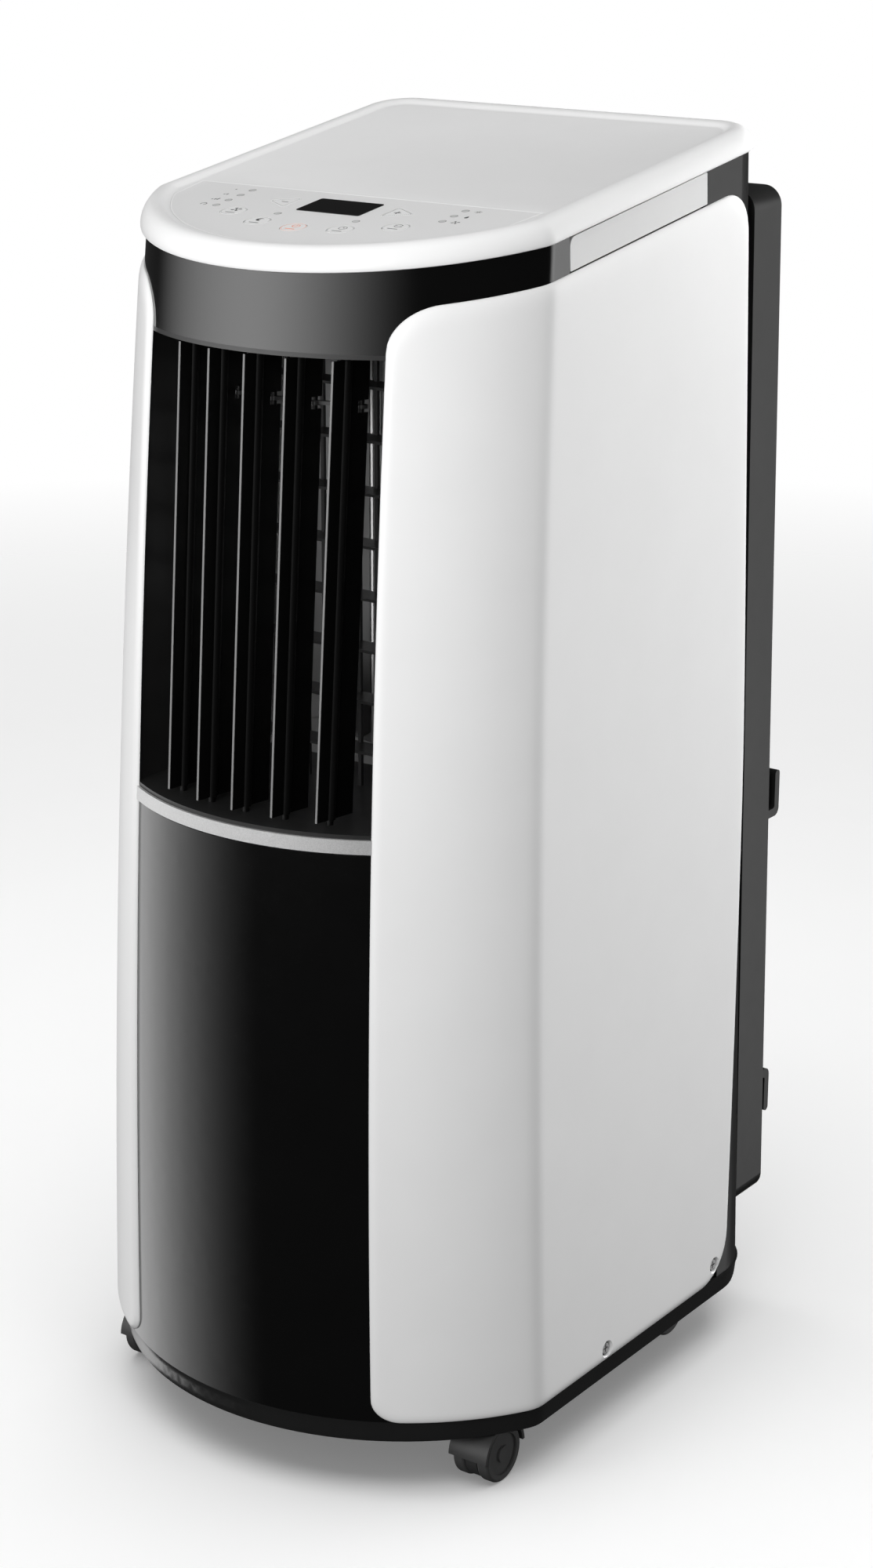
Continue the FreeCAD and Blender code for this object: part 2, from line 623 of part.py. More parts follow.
def lower_fan():
    """Condenser blower on a cross shaft, which blows out through the collar at the back."""
    centre = V(0, LOWER_AXIS_Y, LOWER_AXIS_Z)
    turn = FreeCAD.Placement(centre, FreeCAD.Rotation(V(0, 1, 0), 90))
    wheel = cage(LOWER_WHEEL_R, LOWER_WHEEL_HALF, CAGE_BLADES, -CAGE_PLATE / 2)
    wall = SCROLL_WALL
    side = LOWER_WHEEL_HALF + 5
    shaft = rod(UPPER_SHAFT_R, (0, 0, -6), (0, 0, 1), side + 26)
    save("lower_wheel", placed(joined([wheel, shaft]), turn))
    r = LOWER_WHEEL_R + 8
    y, z = LOWER_AXIS_Y, LOWER_AXIS_Z
    top = COLLAR_Z + COLLAR_R
    foot = COLLAR_Z - COLLAR_R

    def spiral(grow, x0, x1):
        back = COIL_Y + SCROLL_REACH if grow else COIL_Y + SCROLL_REACH + wall
        g = grow
        edges = [Part.LineSegment(V(x0, back, top + g), V(x0, y, top + g)).toShape(),
                 Part.Arc(V(x0, y, top + g), V(x0, y - r - 4 - g, z), V(x0, y, z - r - g)).toShape(),
                 Part.LineSegment(V(x0, y, z - r - g), V(x0, back, foot - g)).toShape(),
                 Part.LineSegment(V(x0, back, foot - g), V(x0, back, top + g)).toShape()]
        return Part.Face(Part.Wire(edges)).extrude(V(x1 - x0, 0, 0))

    half = COLLAR_R
    case = spiral(wall, -half - wall, half + wall).cut(spiral(0.0, -half, half))
    case = case.cut(rod(LOWER_WHEEL_R - 12, (-FAR, y, z), (1, 0, 0), 2 * FAR))
    save("lower_scroll", case)
    x0 = half + wall
    motor = rod(LOWER_MOTOR_R, (x0 + 3, y, z), (1, 0, 0), LOWER_MOTOR_LENGTH - 3)
    plate = prism_x([(y - 50, z - 14), (y + 50, z - 14), (y + 50, z + 14), (y - 50, z + 14)],
                    [4, 4, 4, 4], x0, x0 + 3)
    motor = joined([motor, plate])
    nose = rod(UPPER_SHAFT_R + PIN_CLEARANCE, (0, y, z), (1, 0, 0), x0 + 20)
    save("lower_motor", motor.cut(nose))


def bulge_half(z):
    share = (z - BULGE_FOOT) / (BULGE_TOP - BULGE_FOOT)
    return BULGE_FOOT_HALF + (BULGE_TOP_HALF - BULGE_FOOT_HALF) * share


def bulge(inset, y0, y1):
    """Block of the rear bulge's outline, moved inwards by inset."""
    r = BULGE_CORNER_R - inset
    low = bulge_half(BULGE_FOOT) - inset
    high = bulge_half(BULGE_TOP) - inset
    return prism_y([(-low, BULGE_FOOT + inset), (low, BULGE_FOOT + inset),
                    (high, BULGE_TOP - inset), (-high, BULGE_TOP - inset)], [r] * 4, y0, y1)


def rear_casing(screws):
    """Black back of the body, with the bulge that holds the filters, collar and cord hooks."""
    low = PANEL_DROP + LAP
    y_start = HANDLE_REAR_Y + HANDLE_GAP
    points, radii = side_view(-FAR, REAR_EDGE_FOOT_Y - LAP, REAR_EDGE_MID_Y - LAP,
                              REAR_EDGE_TOP_Y - LAP, PANEL_FOOT_Z - 60, low, 0, REAR_TOP_R)
    ahead = prism_x(points, radii, -FAR, FAR)
    behind = box(-FAR, FAR, 30, FAR, PANEL_FOOT_Z, HEIGHT_LIMIT).cut(ahead)
    strip = box(-FAR, FAR, 0, y_start, lid_line(0, low), HEIGHT_LIMIT)
    shell = BLACK_SHELL.common(behind).cut(strip).common(UNDER_LID)
    back = REAR_Y - PANEL_PROUD
    window = bulge(SKIN + 6, back - 30, back + 1)
    shell = shell.cut(window)
    rim = bulge(0, back - SKIN, BULGE_REAR_Y).cut(bulge(SKIN, back - SKIN - 1, BULGE_REAR_Y - SKIN))
    ledge = bulge(SKIN, back - SKIN, back).cut(bulge(SKIN + 6, back - SKIN - 1, back + 1))
    rear = joined([rim, ledge]).cut(INNER.common(box(-FAR, FAR, 0, back - SKIN, 0, FAR)))
    gap = FILTER_GAP
    upper = prism_y([(-FILTER_HALF - gap, FILTER_FOOT - gap), (FILTER_HALF + gap, FILTER_FOOT - gap),
                     (FILTER_HALF + gap, FILTER_TOP + gap),
                     (-FILTER_HALF - gap, FILTER_TOP + gap)], [5] * 4, back, FAR)
    lower = prism_y([(-LOWER_FILTER_HALF - gap, LOWER_FILTER_FOOT - gap),
                     (LOWER_FILTER_HALF + gap, LOWER_FILTER_FOOT - gap),
                     (LOWER_FILTER_HALF + gap, LOWER_FILTER_TOP + gap),
                     (-LOWER_FILTER_HALF - gap, LOWER_FILTER_TOP + gap)], [5] * 4, back, FAR)
    collar = rod(COLLAR_R + 0.2, (COLLAR_X, back - 20, COLLAR_Z), (0, 1, 0), FAR)
    drain = rod(DRAIN_BORE_R, (DRAIN_X, back - 20, DRAIN_Z), (0, 1, 0), FAR)
    gland = rod(CORD_BORE_R + 4.1, (GLAND_X, back - 20, GLAND_Z), (0, 1, 0), FAR)
    spout = rod(DRAIN_BORE_R + 2.5, (DRAIN_X, back - 6, DRAIN_Z), (0, 1, 0), BULGE_REAR_Y - back + 6)
    rear = joined([rear, spout]).cut(upper).cut(lower).cut(collar).cut(drain).cut(gland)
    stops = []
    for x0, x1, z0, z1 in ((-FILTER_HALF, FILTER_HALF, FILTER_FOOT, FILTER_TOP),
                           (-LOWER_FILTER_HALF, LOWER_FILTER_HALF, LOWER_FILTER_FOOT,
                            LOWER_FILTER_TOP)):
        depth = BULGE_REAR_Y - SKIN
        seat = BULGE_REAR_Y - FILTER_THICK
        outer = box(x0 - gap - 3, x1 + gap + 3, seat - 2, depth, z0 - gap - 3, z1 + gap + 3)
        hole = box(x0 + 4, x1 - 4, seat - 3, seat, z0 + 4, z1 - 4)
        open_part = box(x0 - gap, x1 + gap, seat, depth + 1, z0 - gap, z1 + gap)
        stops.append(outer.cut(hole).cut(open_part))
    casing = joined([shell, rear] + stops)
    casing = drilled(casing, screws)
    save("rear_casing", casing)


def filter_frame(half, foot, top, pitch_x, pitch_z):
    """Lift-out filter: rounded frame, lattice outside, fine mesh sheet inside."""
    rear = BULGE_REAR_Y
    front = rear - FILTER_THICK + 0.3
    corners = [(-half, foot), (half, foot), (half, top), (-half, top)]
    solid = prism_y(corners, [4] * 4, front, rear)
    w = FILTER_FRAME
    inside = prism_y([(-half + w, foot + w), (half - w, foot + w), (half - w, top - w),
                      (-half + w, top - w)], [2] * 4, front - 1, rear + 1)
    frame = solid.cut(inside)
    bars = []
    columns = int(round((2 * half - 2 * w) / pitch_x))
    step = (2 * half - 2 * w) / columns
    for i in range(1, columns):
        x = -half + w + i * step
        bars.append(box(x - FILTER_BAR / 2, x + FILTER_BAR / 2, rear - 4, rear - 1, foot + 2, top - 2))
    rows = int(round((top - foot - 2 * w) / pitch_z))
    step = (top - foot - 2 * w) / rows
    for i in range(1, rows):
        z = foot + w + i * step
        bars.append(box(-half + 2, half - 2, rear - 5, rear - 0.6, z - FILTER_BAR / 2, z + FILTER_BAR / 2))
    mesh = box(-half + 3, half - 3, front + 0.5, front + 1.3, foot + 3, top - 3)
    return joined([frame] + bars + [mesh])


def filters():
    upper = filter_frame(FILTER_HALF, FILTER_FOOT, FILTER_TOP, FILTER_PITCH_X, FILTER_PITCH_Z)
    tab = box(FILTER_HALF - 9, FILTER_HALF - 1, BULGE_REAR_Y - 4, BULGE_REAR_Y + 4, CLASP_FOOT, CLASP_TOP)
    save("filter_upper", joined([upper, tab]))
    lower = filter_frame(LOWER_FILTER_HALF, LOWER_FILTER_FOOT, LOWER_FILTER_TOP,
                         FILTER_PITCH_X, FILTER_PITCH_Z)
    tab = box(-14, 14, BULGE_REAR_Y - 4, BULGE_REAR_Y + 4, LOWER_FILTER_TOP - 8, LOWER_FILTER_TOP - 2)
    save("filter_lower", joined([lower, tab]))


def rear_fittings():
    """Exhaust collar, drain plug, cord gland and the two cord hooks."""
    y0 = COIL_Y + SCROLL_REACH + SCROLL_WALL
    length = BULGE_REAR_Y + COLLAR_STAND - y0
    collar = tube(COLLAR_R - COLLAR_STEP, COLLAR_WALL, (COLLAR_X, y0, COLLAR_Z), (0, 1, 0), length)
    spigot = tube(COLLAR_R, COLLAR_WALL, (COLLAR_X, BULGE_REAR_Y + 1.0, COLLAR_Z), (0, 1, 0),
                  COLLAR_STAND - 1.0)
    collar = joined([collar, spigot])
    mouth = BULGE_REAR_Y + COLLAR_STAND
    for angle in (45, 135, 225, 315):
        slot = box(-4, 4, mouth - 4, mouth + 1, COLLAR_R - COLLAR_WALL - 2, COLLAR_R + 2)
        slot.rotate(V(0, 0, 0), V(0, 1, 0), angle)
        slot.translate(V(COLLAR_X, 0, COLLAR_Z))
        collar = collar.cut(slot)
    cross = []
    for k in range(-3, 4):
        h = COLLAR_R - COLLAR_WALL / 2
        x = k * 16.0
        reach = math.sqrt(h * h - x * x)
        cross.append(box(x - 1, x + 1, y0 + 2, y0 + 6, COLLAR_Z - reach, COLLAR_Z + reach))
        cross.append(box(-reach, reach, y0 + 2, y0 + 6, COLLAR_Z + x - 1, COLLAR_Z + x + 1))
    save("exhaust_collar", joined([collar] + cross))
    y = BULGE_REAR_Y
    plug = rod(DRAIN_BORE_R - 0.3, (DRAIN_X, y - 14, DRAIN_Z), (0, 1, 0), 14.3)
    head = rod(DRAIN_BORE_R + 3, (DRAIN_X, y + 0.3, DRAIN_Z), (0, 1, 0), 3.0)
    grip = box(DRAIN_X - 1.5, DRAIN_X + 1.5, y + 3, y + 9, DRAIN_Z - 6, DRAIN_Z + 6)
    save("drain_plug", joined([plug, head, grip]))
    body_r = CORD_BORE_R + 4.0
    gland = rod(body_r, (GLAND_X, y - 8, GLAND_Z), (0, 1, 0), 8)
    flange = rod(body_r + 2.5, (GLAND_X, y, GLAND_Z), (0, 1, 0), 3)
    nose = Part.makeCone(body_r, CORD_BORE_R + 1.6, 8, V(GLAND_X, y + 3, GLAND_Z), V(0, 1, 0))
    gland = joined([gland, flange, nose])
    save("cord_gland", gland.cut(rod(CORD_BORE_R, (GLAND_X, y - 20, GLAND_Z), (0, 1, 0), FAR)))
    for name, z, way in (("cord_hook_upper", HOOK_UPPER_Z, 1), ("cord_hook_lower", HOOK_LOWER_Z, -1)):
        half = HOOK_WIDTH / 2
        end = y + HOOK_REACH
        points = [(y, z), (end, z), (end, z + way * HOOK_RISE),
                  (end - HOOK_PRONG, z + way * HOOK_RISE), (end - HOOK_PRONG, z + way * HOOK_PRONG),
                  (y, z + way * HOOK_PRONG)]
        radii = [0, 5, 2.5, 2.5, 2.0, 0]
        if way < 0:
            points.reverse()
            radii.reverse()
        save(name, prism_x(points, radii, HOOK_X - half, HOOK_X + half))


def under_lid(y0, y1, top, foot, x0, x1):
    """Block with upright ends, between two drops measured from the lid's lower edge."""
    points = [(y0, lid_line(y0, foot)), (y1, lid_line(y1, foot)),
              (y1, lid_line(y1, top)), (y0, lid_line(y0, top))]
    return prism_x(points, [0, 0, 0, 0], x0, x1)


def handles():
    """Sprung flap over a hand pocket in each side, just under the lid."""
    low = HANDLE_GAP + 0.3
    y0, y1 = HANDLE_FRONT_Y, HANDLE_REAR_Y
    drop_top = LID_SEAM + 0.8
    points = [(y0, lid_line(y0, PANEL_DROP - low)), (y1, lid_line(y1, PANEL_DROP - low)),
              (y1, lid_line(y1, drop_top)), (y0, lid_line(y0, drop_top))]
    region = prism_x(points, [0.8, 0.8, 0.8, 6.0], 0, FAR)
    flap = BLACK.cut(body(PANEL_PROUD + FLAP_THICK)).common(region)
    middle = (y0 + y1) / 2
    slope = math.radians(TILT)
    length = (y1 - y0) / math.cos(slope)
    axis_drop = drop_top + 2.0
    axis_inset = PANEL_PROUD + SKIN + FLAP_PIN_R + 0.9
    axis_x = half_width(lid_line(middle, axis_drop)) - axis_inset
    along = (0, math.cos(slope), math.sin(slope))
    y_pin = y0 - 2.4
    pin = rod(FLAP_PIN_R, (axis_x, y_pin, lid_line(y_pin, axis_drop)), along, length + 4.8)
    lugs = []
    for y in (y0 + 2.0, middle - 2.0, y1 - 6.0):
        lug = under_lid(y, y + 4, axis_drop - 1.1, axis_drop + 2.0, axis_x - 1.0, FAR)
        lugs.append(lug.common(body(PANEL_PROUD + FLAP_THICK * 0.5)))
    flap = joined([flap, pin] + lugs)
    save("handle_flap_right", flap)
    save("handle_flap_left", mirrored(flap))
    wall = POCKET_WALL
    roof = LID_SEAM + 0.2
    floor = PANEL_DROP + 2.0
    mouth = half_width(lid_line(middle, PANEL_DROP)) - PANEL_PROUD - SKIN - 0.3
    back = mouth - POCKET_DEPTH
    outer = under_lid(y0 - 1 - wall, y1 + 1 + wall, roof, floor + wall, back, mouth + 6)
    inner = under_lid(y0 - 1, y1 + 1, roof + wall / 2, floor, back + wall, mouth + 20)
    lip = under_lid(y0 + 1, y1 - 1, floor, floor + wall, mouth - 2, mouth + 8)
    pocket = joined([outer.cut(inner).common(INNER), lip.common(BLACK)])
    bore = rod(FLAP_PIN_R + PIN_CLEARANCE, (axis_x, y_pin - 1, lid_line(y_pin - 1, axis_drop)),
               along, length + 6.0)
    pocket = pocket.cut(bore)
    save("handle_pocket_right", pocket)
    save("handle_pocket_left", mirrored(pocket))


def lid_section(w, inset):
    """Plan outline of the lid in its own frame, at height w above its lower edge."""
    half = TOP_HALF + 0.6
    wire = plan(half, -LID_SLOPE_LENGTH, FRONT_CORNER_R, 0, REAR_CORNER_TOP_R, w, inset)
    return wire


def lid_block(levels):
    return Part.makeLoft([lid_section(w, inset) for w, inset in levels], True, False)


def key_block(key, grow, low, high):
    """A key's outline as a block: round, or a rounded triangle for the two stepping keys."""
    name, x, y = key
    if name not in POINTED_KEYS:
        return rod(KEY_R + grow, (x, y, low), (0, 0, 1), high - low)
    reach = POINTED_REACH + 2 * grow
    way = POINTED_KEYS[name]
    points = [(x + way * reach * math.cos(a), y + reach * math.sin(a))
              for a in (0.0, math.radians(120), math.radians(240))]
    return prism_z(points, [POINTED_CORNER_R + grow] * 3, low, high)


def lid():
    """White tray lid: a rounded rim round a shallow recess that holds the controls."""
    top = LID_HEIGHT
    skin = lid_block(((0, 0.6), (top * 0.35, 0.0), (top * 0.7, 0.9), (top * 0.92, 3.2), (top, 6.0)))
    floor = top - RECESS_DEPTH
    recess = lid_block(((floor, RECESS_INSET), (top + 1, RECESS_INSET - 3.4)))
    hollow = lid_block(((-1, 4.0), (floor - LID_SKIN, 5.0)))
    shell = skin.cut(recess).cut(hollow)
    pocket = film_shape(0.0, floor - FILM_THICK, floor + 1)
    shell = shell.cut(pocket)
    for key in KEYS:
        shell = shell.cut(key_block(key, KEY_SLOT, floor - 8, floor + 2))
    for x, y in LEDS:
        shell = shell.cut(rod(LED_R, (x, y, floor - 8), (0, 0, 1), 10))
    shell = shell.cut(display_block(-8.0, 8.0, floor))
    save("lid", on_lid(shell))
    film = film_shape(0.15, floor - FILM_THICK, floor)
    for key in KEYS:
        film = film.cut(key_block(key, KEY_SLOT, floor - 8, floor + 8))
    for x, y in LEDS:
        film = film.cut(rod(LED_R, (x, y, floor - 8), (0, 0, 1), 16))
    film = film.cut(display_block(-8.0, 8.0, floor))
    save("control_film", on_lid(film))
    save("display_window", on_lid(display_block(-2.6, 0.3, floor)))
    lenses = [on_lid(rod(LED_R, (x, y, floor - 3.0), (0, 0, 1), 3.1)) for x, y in LEDS]
    save("status_lenses", Part.makeCompound(lenses))
    for key in KEYS:
        cap = key_block(key, 0.0, floor - KEY_HEIGHT, floor)
        edges = [e for e in cap.Edges if abs(e.BoundBox.ZMin - floor) < 0.01
                 and e.BoundBox.ZLength < 0.01]
        cap = cap.makeFillet(KEY_EDGE_R, edges)
        save(key[0], on_lid(cap))
    face = floor - KEY_HEIGHT - KEY_TRAVEL_GAP
    front = KEYS[2][2] - KEY_R - 0.5
    plate = box(-BOARD_HALF, BOARD_HALF, front, FILM_REAR, face - BOARD_THICK, face)
    posts = [rod(BOARD_POST_R, (x, y, face - 0.1), (0, 0, 1), floor - LID_SKIN - face + 0.1)
             for x in (-BOARD_HALF + 4, BOARD_HALF - 4) for y in (FILM_REAR - 5, FILM_REAR - 55)]
    save("key_board", on_lid(joined([plate] + posts)))


def film_shape(gap, w0, w1):
    """Control film: straight back edge, slanted ends, front edge bowed with the lid."""
    edge = RECESS_INSET + 6.0
    radius = bow_radius(TOP_HALF + 0.6) - edge - gap
    centre = -LID_SLOPE_LENGTH + bow_radius(TOP_HALF + 0.6)
    y_end = FILM_REAR - 30.0
    x_end = math.sqrt(radius * radius - (y_end - centre) ** 2)
    top = FILM_REAR - gap
    x_top = min(x_end + 4.0, 120.0)
    edges = [Part.Arc(V(-x_end, y_end, w0), V(0, centre - radius, w0), V(x_end, y_end, w0)),
             Part.LineSegment(V(x_end, y_end, w0), V(x_top - gap, top, w0)),
             Part.LineSegment(V(x_top - gap, top, w0), V(-x_top + gap, top, w0)),
             Part.LineSegment(V(-x_top + gap, top, w0), V(-x_end, y_end, w0))]
    wire = Part.Wire([e.toShape() for e in edges])
    return Part.Face(wire).extrude(V(0, 0, w1 - w0))


def display_block(low, high, floor):
    d = DISPLAY_HALF
    rear = DISPLAY_FRONT + DISPLAY_DEPTH
    return prism_z([(-d, DISPLAY_FRONT), (d, DISPLAY_FRONT), (d, rear), (-d, rear)],
                   [1.5] * 4, floor + low, floor + high)


def plinth_block(levels):
    """Block of the plinth's outline, through heights that each have an inset."""
    half = half_width(PLINTH_Z) - PLINTH_INSET
    front = front_y(PLINTH_Z) + PLINTH_INSET
    return Part.makeLoft([plan(half, front, FRONT_CORNER_R, REAR_Y + 1, REAR_CORNER_BASE_R, z, inset)
                          for z, inset in levels], True, False)


def base_pan():
    """Plinth and floor of the machine, with a socket for each castor."""
    ring = plinth_block(((PLINTH_Z, 1.5), (PLINTH_Z + 4, 0.5), (PLINTH_Z + 9, 0.0),
                         (PANEL_FOOT_Z, -1.2)))
    inside = plinth_block(((PLINTH_Z - 1, PLINTH_WALL), (FLOOR_Z, PLINTH_WALL)))
    above = plinth_block(((FLOOR_Z + FLOOR_THICK, PLINTH_WALL + 2), (PANEL_FOOT_Z + 1, PLINTH_WALL + 2)))
    pan = ring.cut(inside).cut(above)
    bosses = [rod(BOSS_R, (x, y, FLOOR_Z + 1), (0, 0, 1), STEM_TOP + 2 - FLOOR_Z)
              for x, y in castor_places()]
    ribs = [box(x - 3, x + 3, COIL_Y, COIL_Y + COIL_DEPTH, FLOOR_Z + 1, STEM_TOP + CONDENSER_LIFT)
            for x in (-60.0, 0.0, 60.0)]
    pan = joined([pan] + bosses + ribs)
    for x, y in castor_places():
        pan = pan.cut(rod(STEM_R + PIN_CLEARANCE, (x, y, 0), (0, 0, 1), STEM_TOP + 0.5))
    save("base_pan", pan)


def castor_places():
    return [(-CASTOR_X, CASTOR_FRONT_Y), (CASTOR_X, CASTOR_FRONT_Y),
            (-CASTOR_REAR_X, CASTOR_REAR_Y), (CASTOR_REAR_X, CASTOR_REAR_Y)]


CASTOR_NAMES = ("front_left", "front_right", "rear_left", "rear_right")


def castors():
    """Hooded twin-wheel castors that trail behind their stems."""
    for name, (x, y) in zip(CASTOR_NAMES, castor_places()):
        ay = y - TRAIL
        half = WEB_HALF + WHEEL_GAP + WHEEL_WIDTH + 0.8
        hood = rod(HOOD_R, (x - half, ay, WHEEL_R), (1, 0, 0), 2 * half)
        hood = hood.cut(box(x - FAR, x + FAR, ay - FAR, ay + FAR, -FAR, WHEEL_R + 1.5))
        web = rod(HOOD_R - 4.0, (x - WEB_HALF, ay, WHEEL_R), (1, 0, 0), 2 * WEB_HALF)
        for side in (-1, 1):
            x0 = x + side * WEB_HALF if side > 0 else x - half - 1
            room = rod(WHEEL_R + HOOD_GAP, (x0, ay, WHEEL_R), (1, 0, 0), half + 1 - WEB_HALF)
            hood = hood.cut(room)
        neck = rod(STEM_R + 2.5, (x, y, WHEEL_R + HOOD_R - 12.0), (0, 0, 1), 15.5)
        neck = neck.cut(rod(WHEEL_R + HOOD_GAP, (x - FAR, ay, WHEEL_R), (1, 0, 0), FAR - WEB_HALF))
        neck = neck.cut(rod(WHEEL_R + HOOD_GAP, (x + WEB_HALF, ay, WHEEL_R), (1, 0, 0), FAR))
        stem = rod(STEM_R, (x, y, WHEEL_R + HOOD_R - 4.0), (0, 0, 1), STEM_TOP - WHEEL_R - HOOD_R + 4.0)
        fork = joined([hood, web, neck, stem])
        fork = fork.cut(rod(AXLE_R + PIN_CLEARANCE, (x - FAR, ay, WHEEL_R), (1, 0, 0), 2 * FAR))
        above = box(x - FAR, x + FAR, y - FAR, y + FAR, PLINTH_Z - PLINTH_CLEAR, FAR)
        fork = fork.cut(above.cut(rod(SWIVEL_R, (x, y, 0), (0, 0, 1), 2 * FAR)))
        save("castor_fork_" + name, fork)
        parts = [rod(AXLE_R, (x - half + 1.2, ay, WHEEL_R), (1, 0, 0), 2 * half - 2.4)]
        for side in (-1, 1):
            x0 = x + WEB_HALF + WHEEL_GAP if side > 0 else x - WEB_HALF - WHEEL_GAP - WHEEL_WIDTH
            wheel = rod(WHEEL_R, (x0, ay, WHEEL_R), (1, 0, 0), WHEEL_WIDTH)
            rims = [e for e in wheel.Edges if e.BoundBox.XLength < 0.01]
            wheel = wheel.makeFillet(1.8, rims)
            face = x0 + WHEEL_WIDTH - 1.2 if side > 0 else x0
            wheel = wheel.cut(rod(WHEEL_R - 4.5, (face, ay, WHEEL_R), (1, 0, 0), 1.2)
                              .cut(rod(5.0, (face, ay, WHEEL_R), (1, 0, 0), 1.2)))
            parts.append(wheel)
        save("castor_wheels_" + name, joined(parts))


def tray():
    """Drain tray that parts the cool chamber from the warm one."""
    base = TRAY_TOP - TRAY_HEIGHT
    outline = body(PANEL_PROUD + SKIN + TRAY_GAP)
    slab = outline.common(box(-FAR, FAR, -FAR, REAR_Y - 30, base, TRAY_TOP))
    room = body(PANEL_PROUD + SKIN + TRAY_GAP + 3).common(
        box(-FAR, FAR, -FAR, REAR_Y - 33, base + 3, TRAY_TOP + 1))
    supports = [box(-DUCT_HALF, DUCT_HALF, y, y + 4, base + 1, OUTLET_FOOT)
                for y in (-118.0, DUCT_REAR_Y + 4, COIL_Y - 20)]
    seat = box(-EVAPORATOR_HALF, EVAPORATOR_HALF, COIL_Y, COIL_Y + 4, base + 1, OUTLET_FOOT - 1)
    whole = joined([slab.cut(room)] + supports + [seat])
    for x in PIPE_XS:
        whole = whole.cut(rod(7.5, (x, COIL_Y + COIL_DEPTH / 2, base - 5), (0, 0, 1), TRAY_HEIGHT + 10))
    save("drain_tray", whole)


PIPE_XS = (-126.0, 126.0)


def coil(name, half, low, high):
    """Finned heat exchanger: fin pack, end plates and hairpin tube ends."""
    y0, y1 = COIL_Y, COIL_Y + COIL_DEPTH
    parts = [box(-half + 6, half - 6, y0, y1, low, high)]
    for side in (-1, 1):
        x = side * (half - 6)
        parts.append(box(min(x, x + side * 1.5), max(x, x + side * 1.5), y0 - 2, y1 + 2, low, high))
    rows = int((high - low - 2 * COIL_TUBE_R - 4) // COIL_ROW_PITCH)
    start = (low + high - (rows - 1) * COIL_ROW_PITCH) / 2
    for i in range(rows):
        z = start + i * COIL_ROW_PITCH
        for side in (-1, 1):
            ring = Part.makeTorus(5.0, COIL_TUBE_R * 0.6, V(side * (half - 5), (y0 + y1) / 2, z),
                                  V(0, 0, 1), -180, 180, 360)
            keep = box(half - 5.2, half + 4, y0, y1, z - 6, z + 6)
            if side < 0:
                keep = mirrored(keep)
            parts.append(ring.common(keep))
    save(name, joined(parts))


def pipe_run(points, r, bend):
    """Tube along straight runs with a round bend at each inner point."""
    edges = []
    start = V(*points[0])
    for i in range(1, len(points) - 1):
        corner = V(*points[i])
        back = (V(*points[i - 1]) - corner).normalize()
        ahead = (V(*points[i + 1]) - corner).normalize()
        half = back.getAngle(ahead) / 2
        reach = bend / math.tan(half)
        a = corner + back * reach
        b = corner + ahead * reach
        mid = corner + (back + ahead).normalize() * (bend / math.sin(half) - bend)
        edges.append(Part.LineSegment(start, a).toShape())
        edges.append(Part.Arc(a, mid, b).toShape())
        start = b
    edges.append(Part.LineSegment(start, V(*points[-1])).toShape())
    path = Part.Wire(edges)
    first = (V(*points[1]) - V(*points[0])).normalize()
    profile = Part.Wire([Part.Circle(V(*points[0]), first, r).toShape()])
    return path.makePipeShell([profile], True, True)


def cooling_set():
    """Compressor, coils and the copper pipes between them."""
    floor = FLOOR_Z + FLOOR_THICK
    x, y = COMPRESSOR_X, COMPRESSOR_Y
    foot = floor + 9
    can = rod(COMPRESSOR_R, (x, y, foot), (0, 0, 1), COMPRESSOR_H)
    can = can.makeFillet(12.0, [e for e in can.Edges if e.BoundBox.ZLength < 0.01])
    plate = prism_z([(x - 54, y - 30), (x + 54, y - 30), (x + 54, y + 30), (x - 54, y + 30)],
                    [8] * 4, foot, foot + 3)
    feet = [rod(6, (x + dx, y + dy, floor), (0, 0, 1), 9.5) for dx in (-46, 46) for dy in (-22, 22)]
    cap = rod(14, (x, y + 18, foot + COMPRESSOR_H - 1), (0, 0, 1), 10)
    save("compressor", joined([can, plate, cap] + feet))
    coil("evaporator", EVAPORATOR_HALF, OUTLET_FOOT - 1, EVAPORATOR_TOP)
    coil("condenser", CONDENSER_HALF, STEM_TOP + CONDENSER_LIFT, CONDENSER_TOP)
    top = foot + COMPRESSOR_H
    left, right = PIPE_XS
    mid = COIL_Y + COIL_DEPTH / 2
    end = EVAPORATOR_HALF - 4.5
    low_port = 141.0
    cold_port = OUTLET_FOOT + 35.0
    hot = pipe_run([(x - 22, y, top), (x - 22, y, top + 32), (left, y, top + 32),
                    (left, mid, top + 32), (left, mid, low_port),
                    (-CONDENSER_HALF + 4.5, mid, low_port)], 3.2, 11.0)
    cold = pipe_run([(x + 20, y - 20, top), (x + 20, y - 20, top + 54), (left, y - 20, top + 54),
                     (left, mid, top + 54), (left, mid, cold_port), (-end, mid, cold_port)], 4.0, 11.0)
    thin = pipe_run([(CONDENSER_HALF - 4.5, mid, low_port), (right, mid, low_port),
                     (right, mid, cold_port + 24.0), (end, mid, cold_port + 24.0)], 2.0, 7.0)
    save("pipework", Part.makeCompound([hot, cold, thin]))


def controls():
    """Electric box beside the compressor."""
    width, depth, height = CONTROL_BOX
    floor = FLOOR_Z + FLOOR_THICK
    x0, y0 = CONTROL_BOX_X, CONTROL_BOX_Y
    case = box(x0, x0 + width, y0, y0 + depth, floor, floor + height)
    inner = box(x0 + 2, x0 + width - 2, y0 + 2, y0 + depth - 2, floor + 2, floor + height + 1)
    lid_plate = box(x0 - 1, x0 + width + 1, y0 - 1, y0 + depth + 1, floor + height,
                    floor + height + 2)
    board = box(x0 + 6, x0 + 7.6, y0 + 2, y0 + depth - 2, floor + 2, floor + height - 10)
    save("control_box", joined([case.cut(inner), lid_plate, board]))


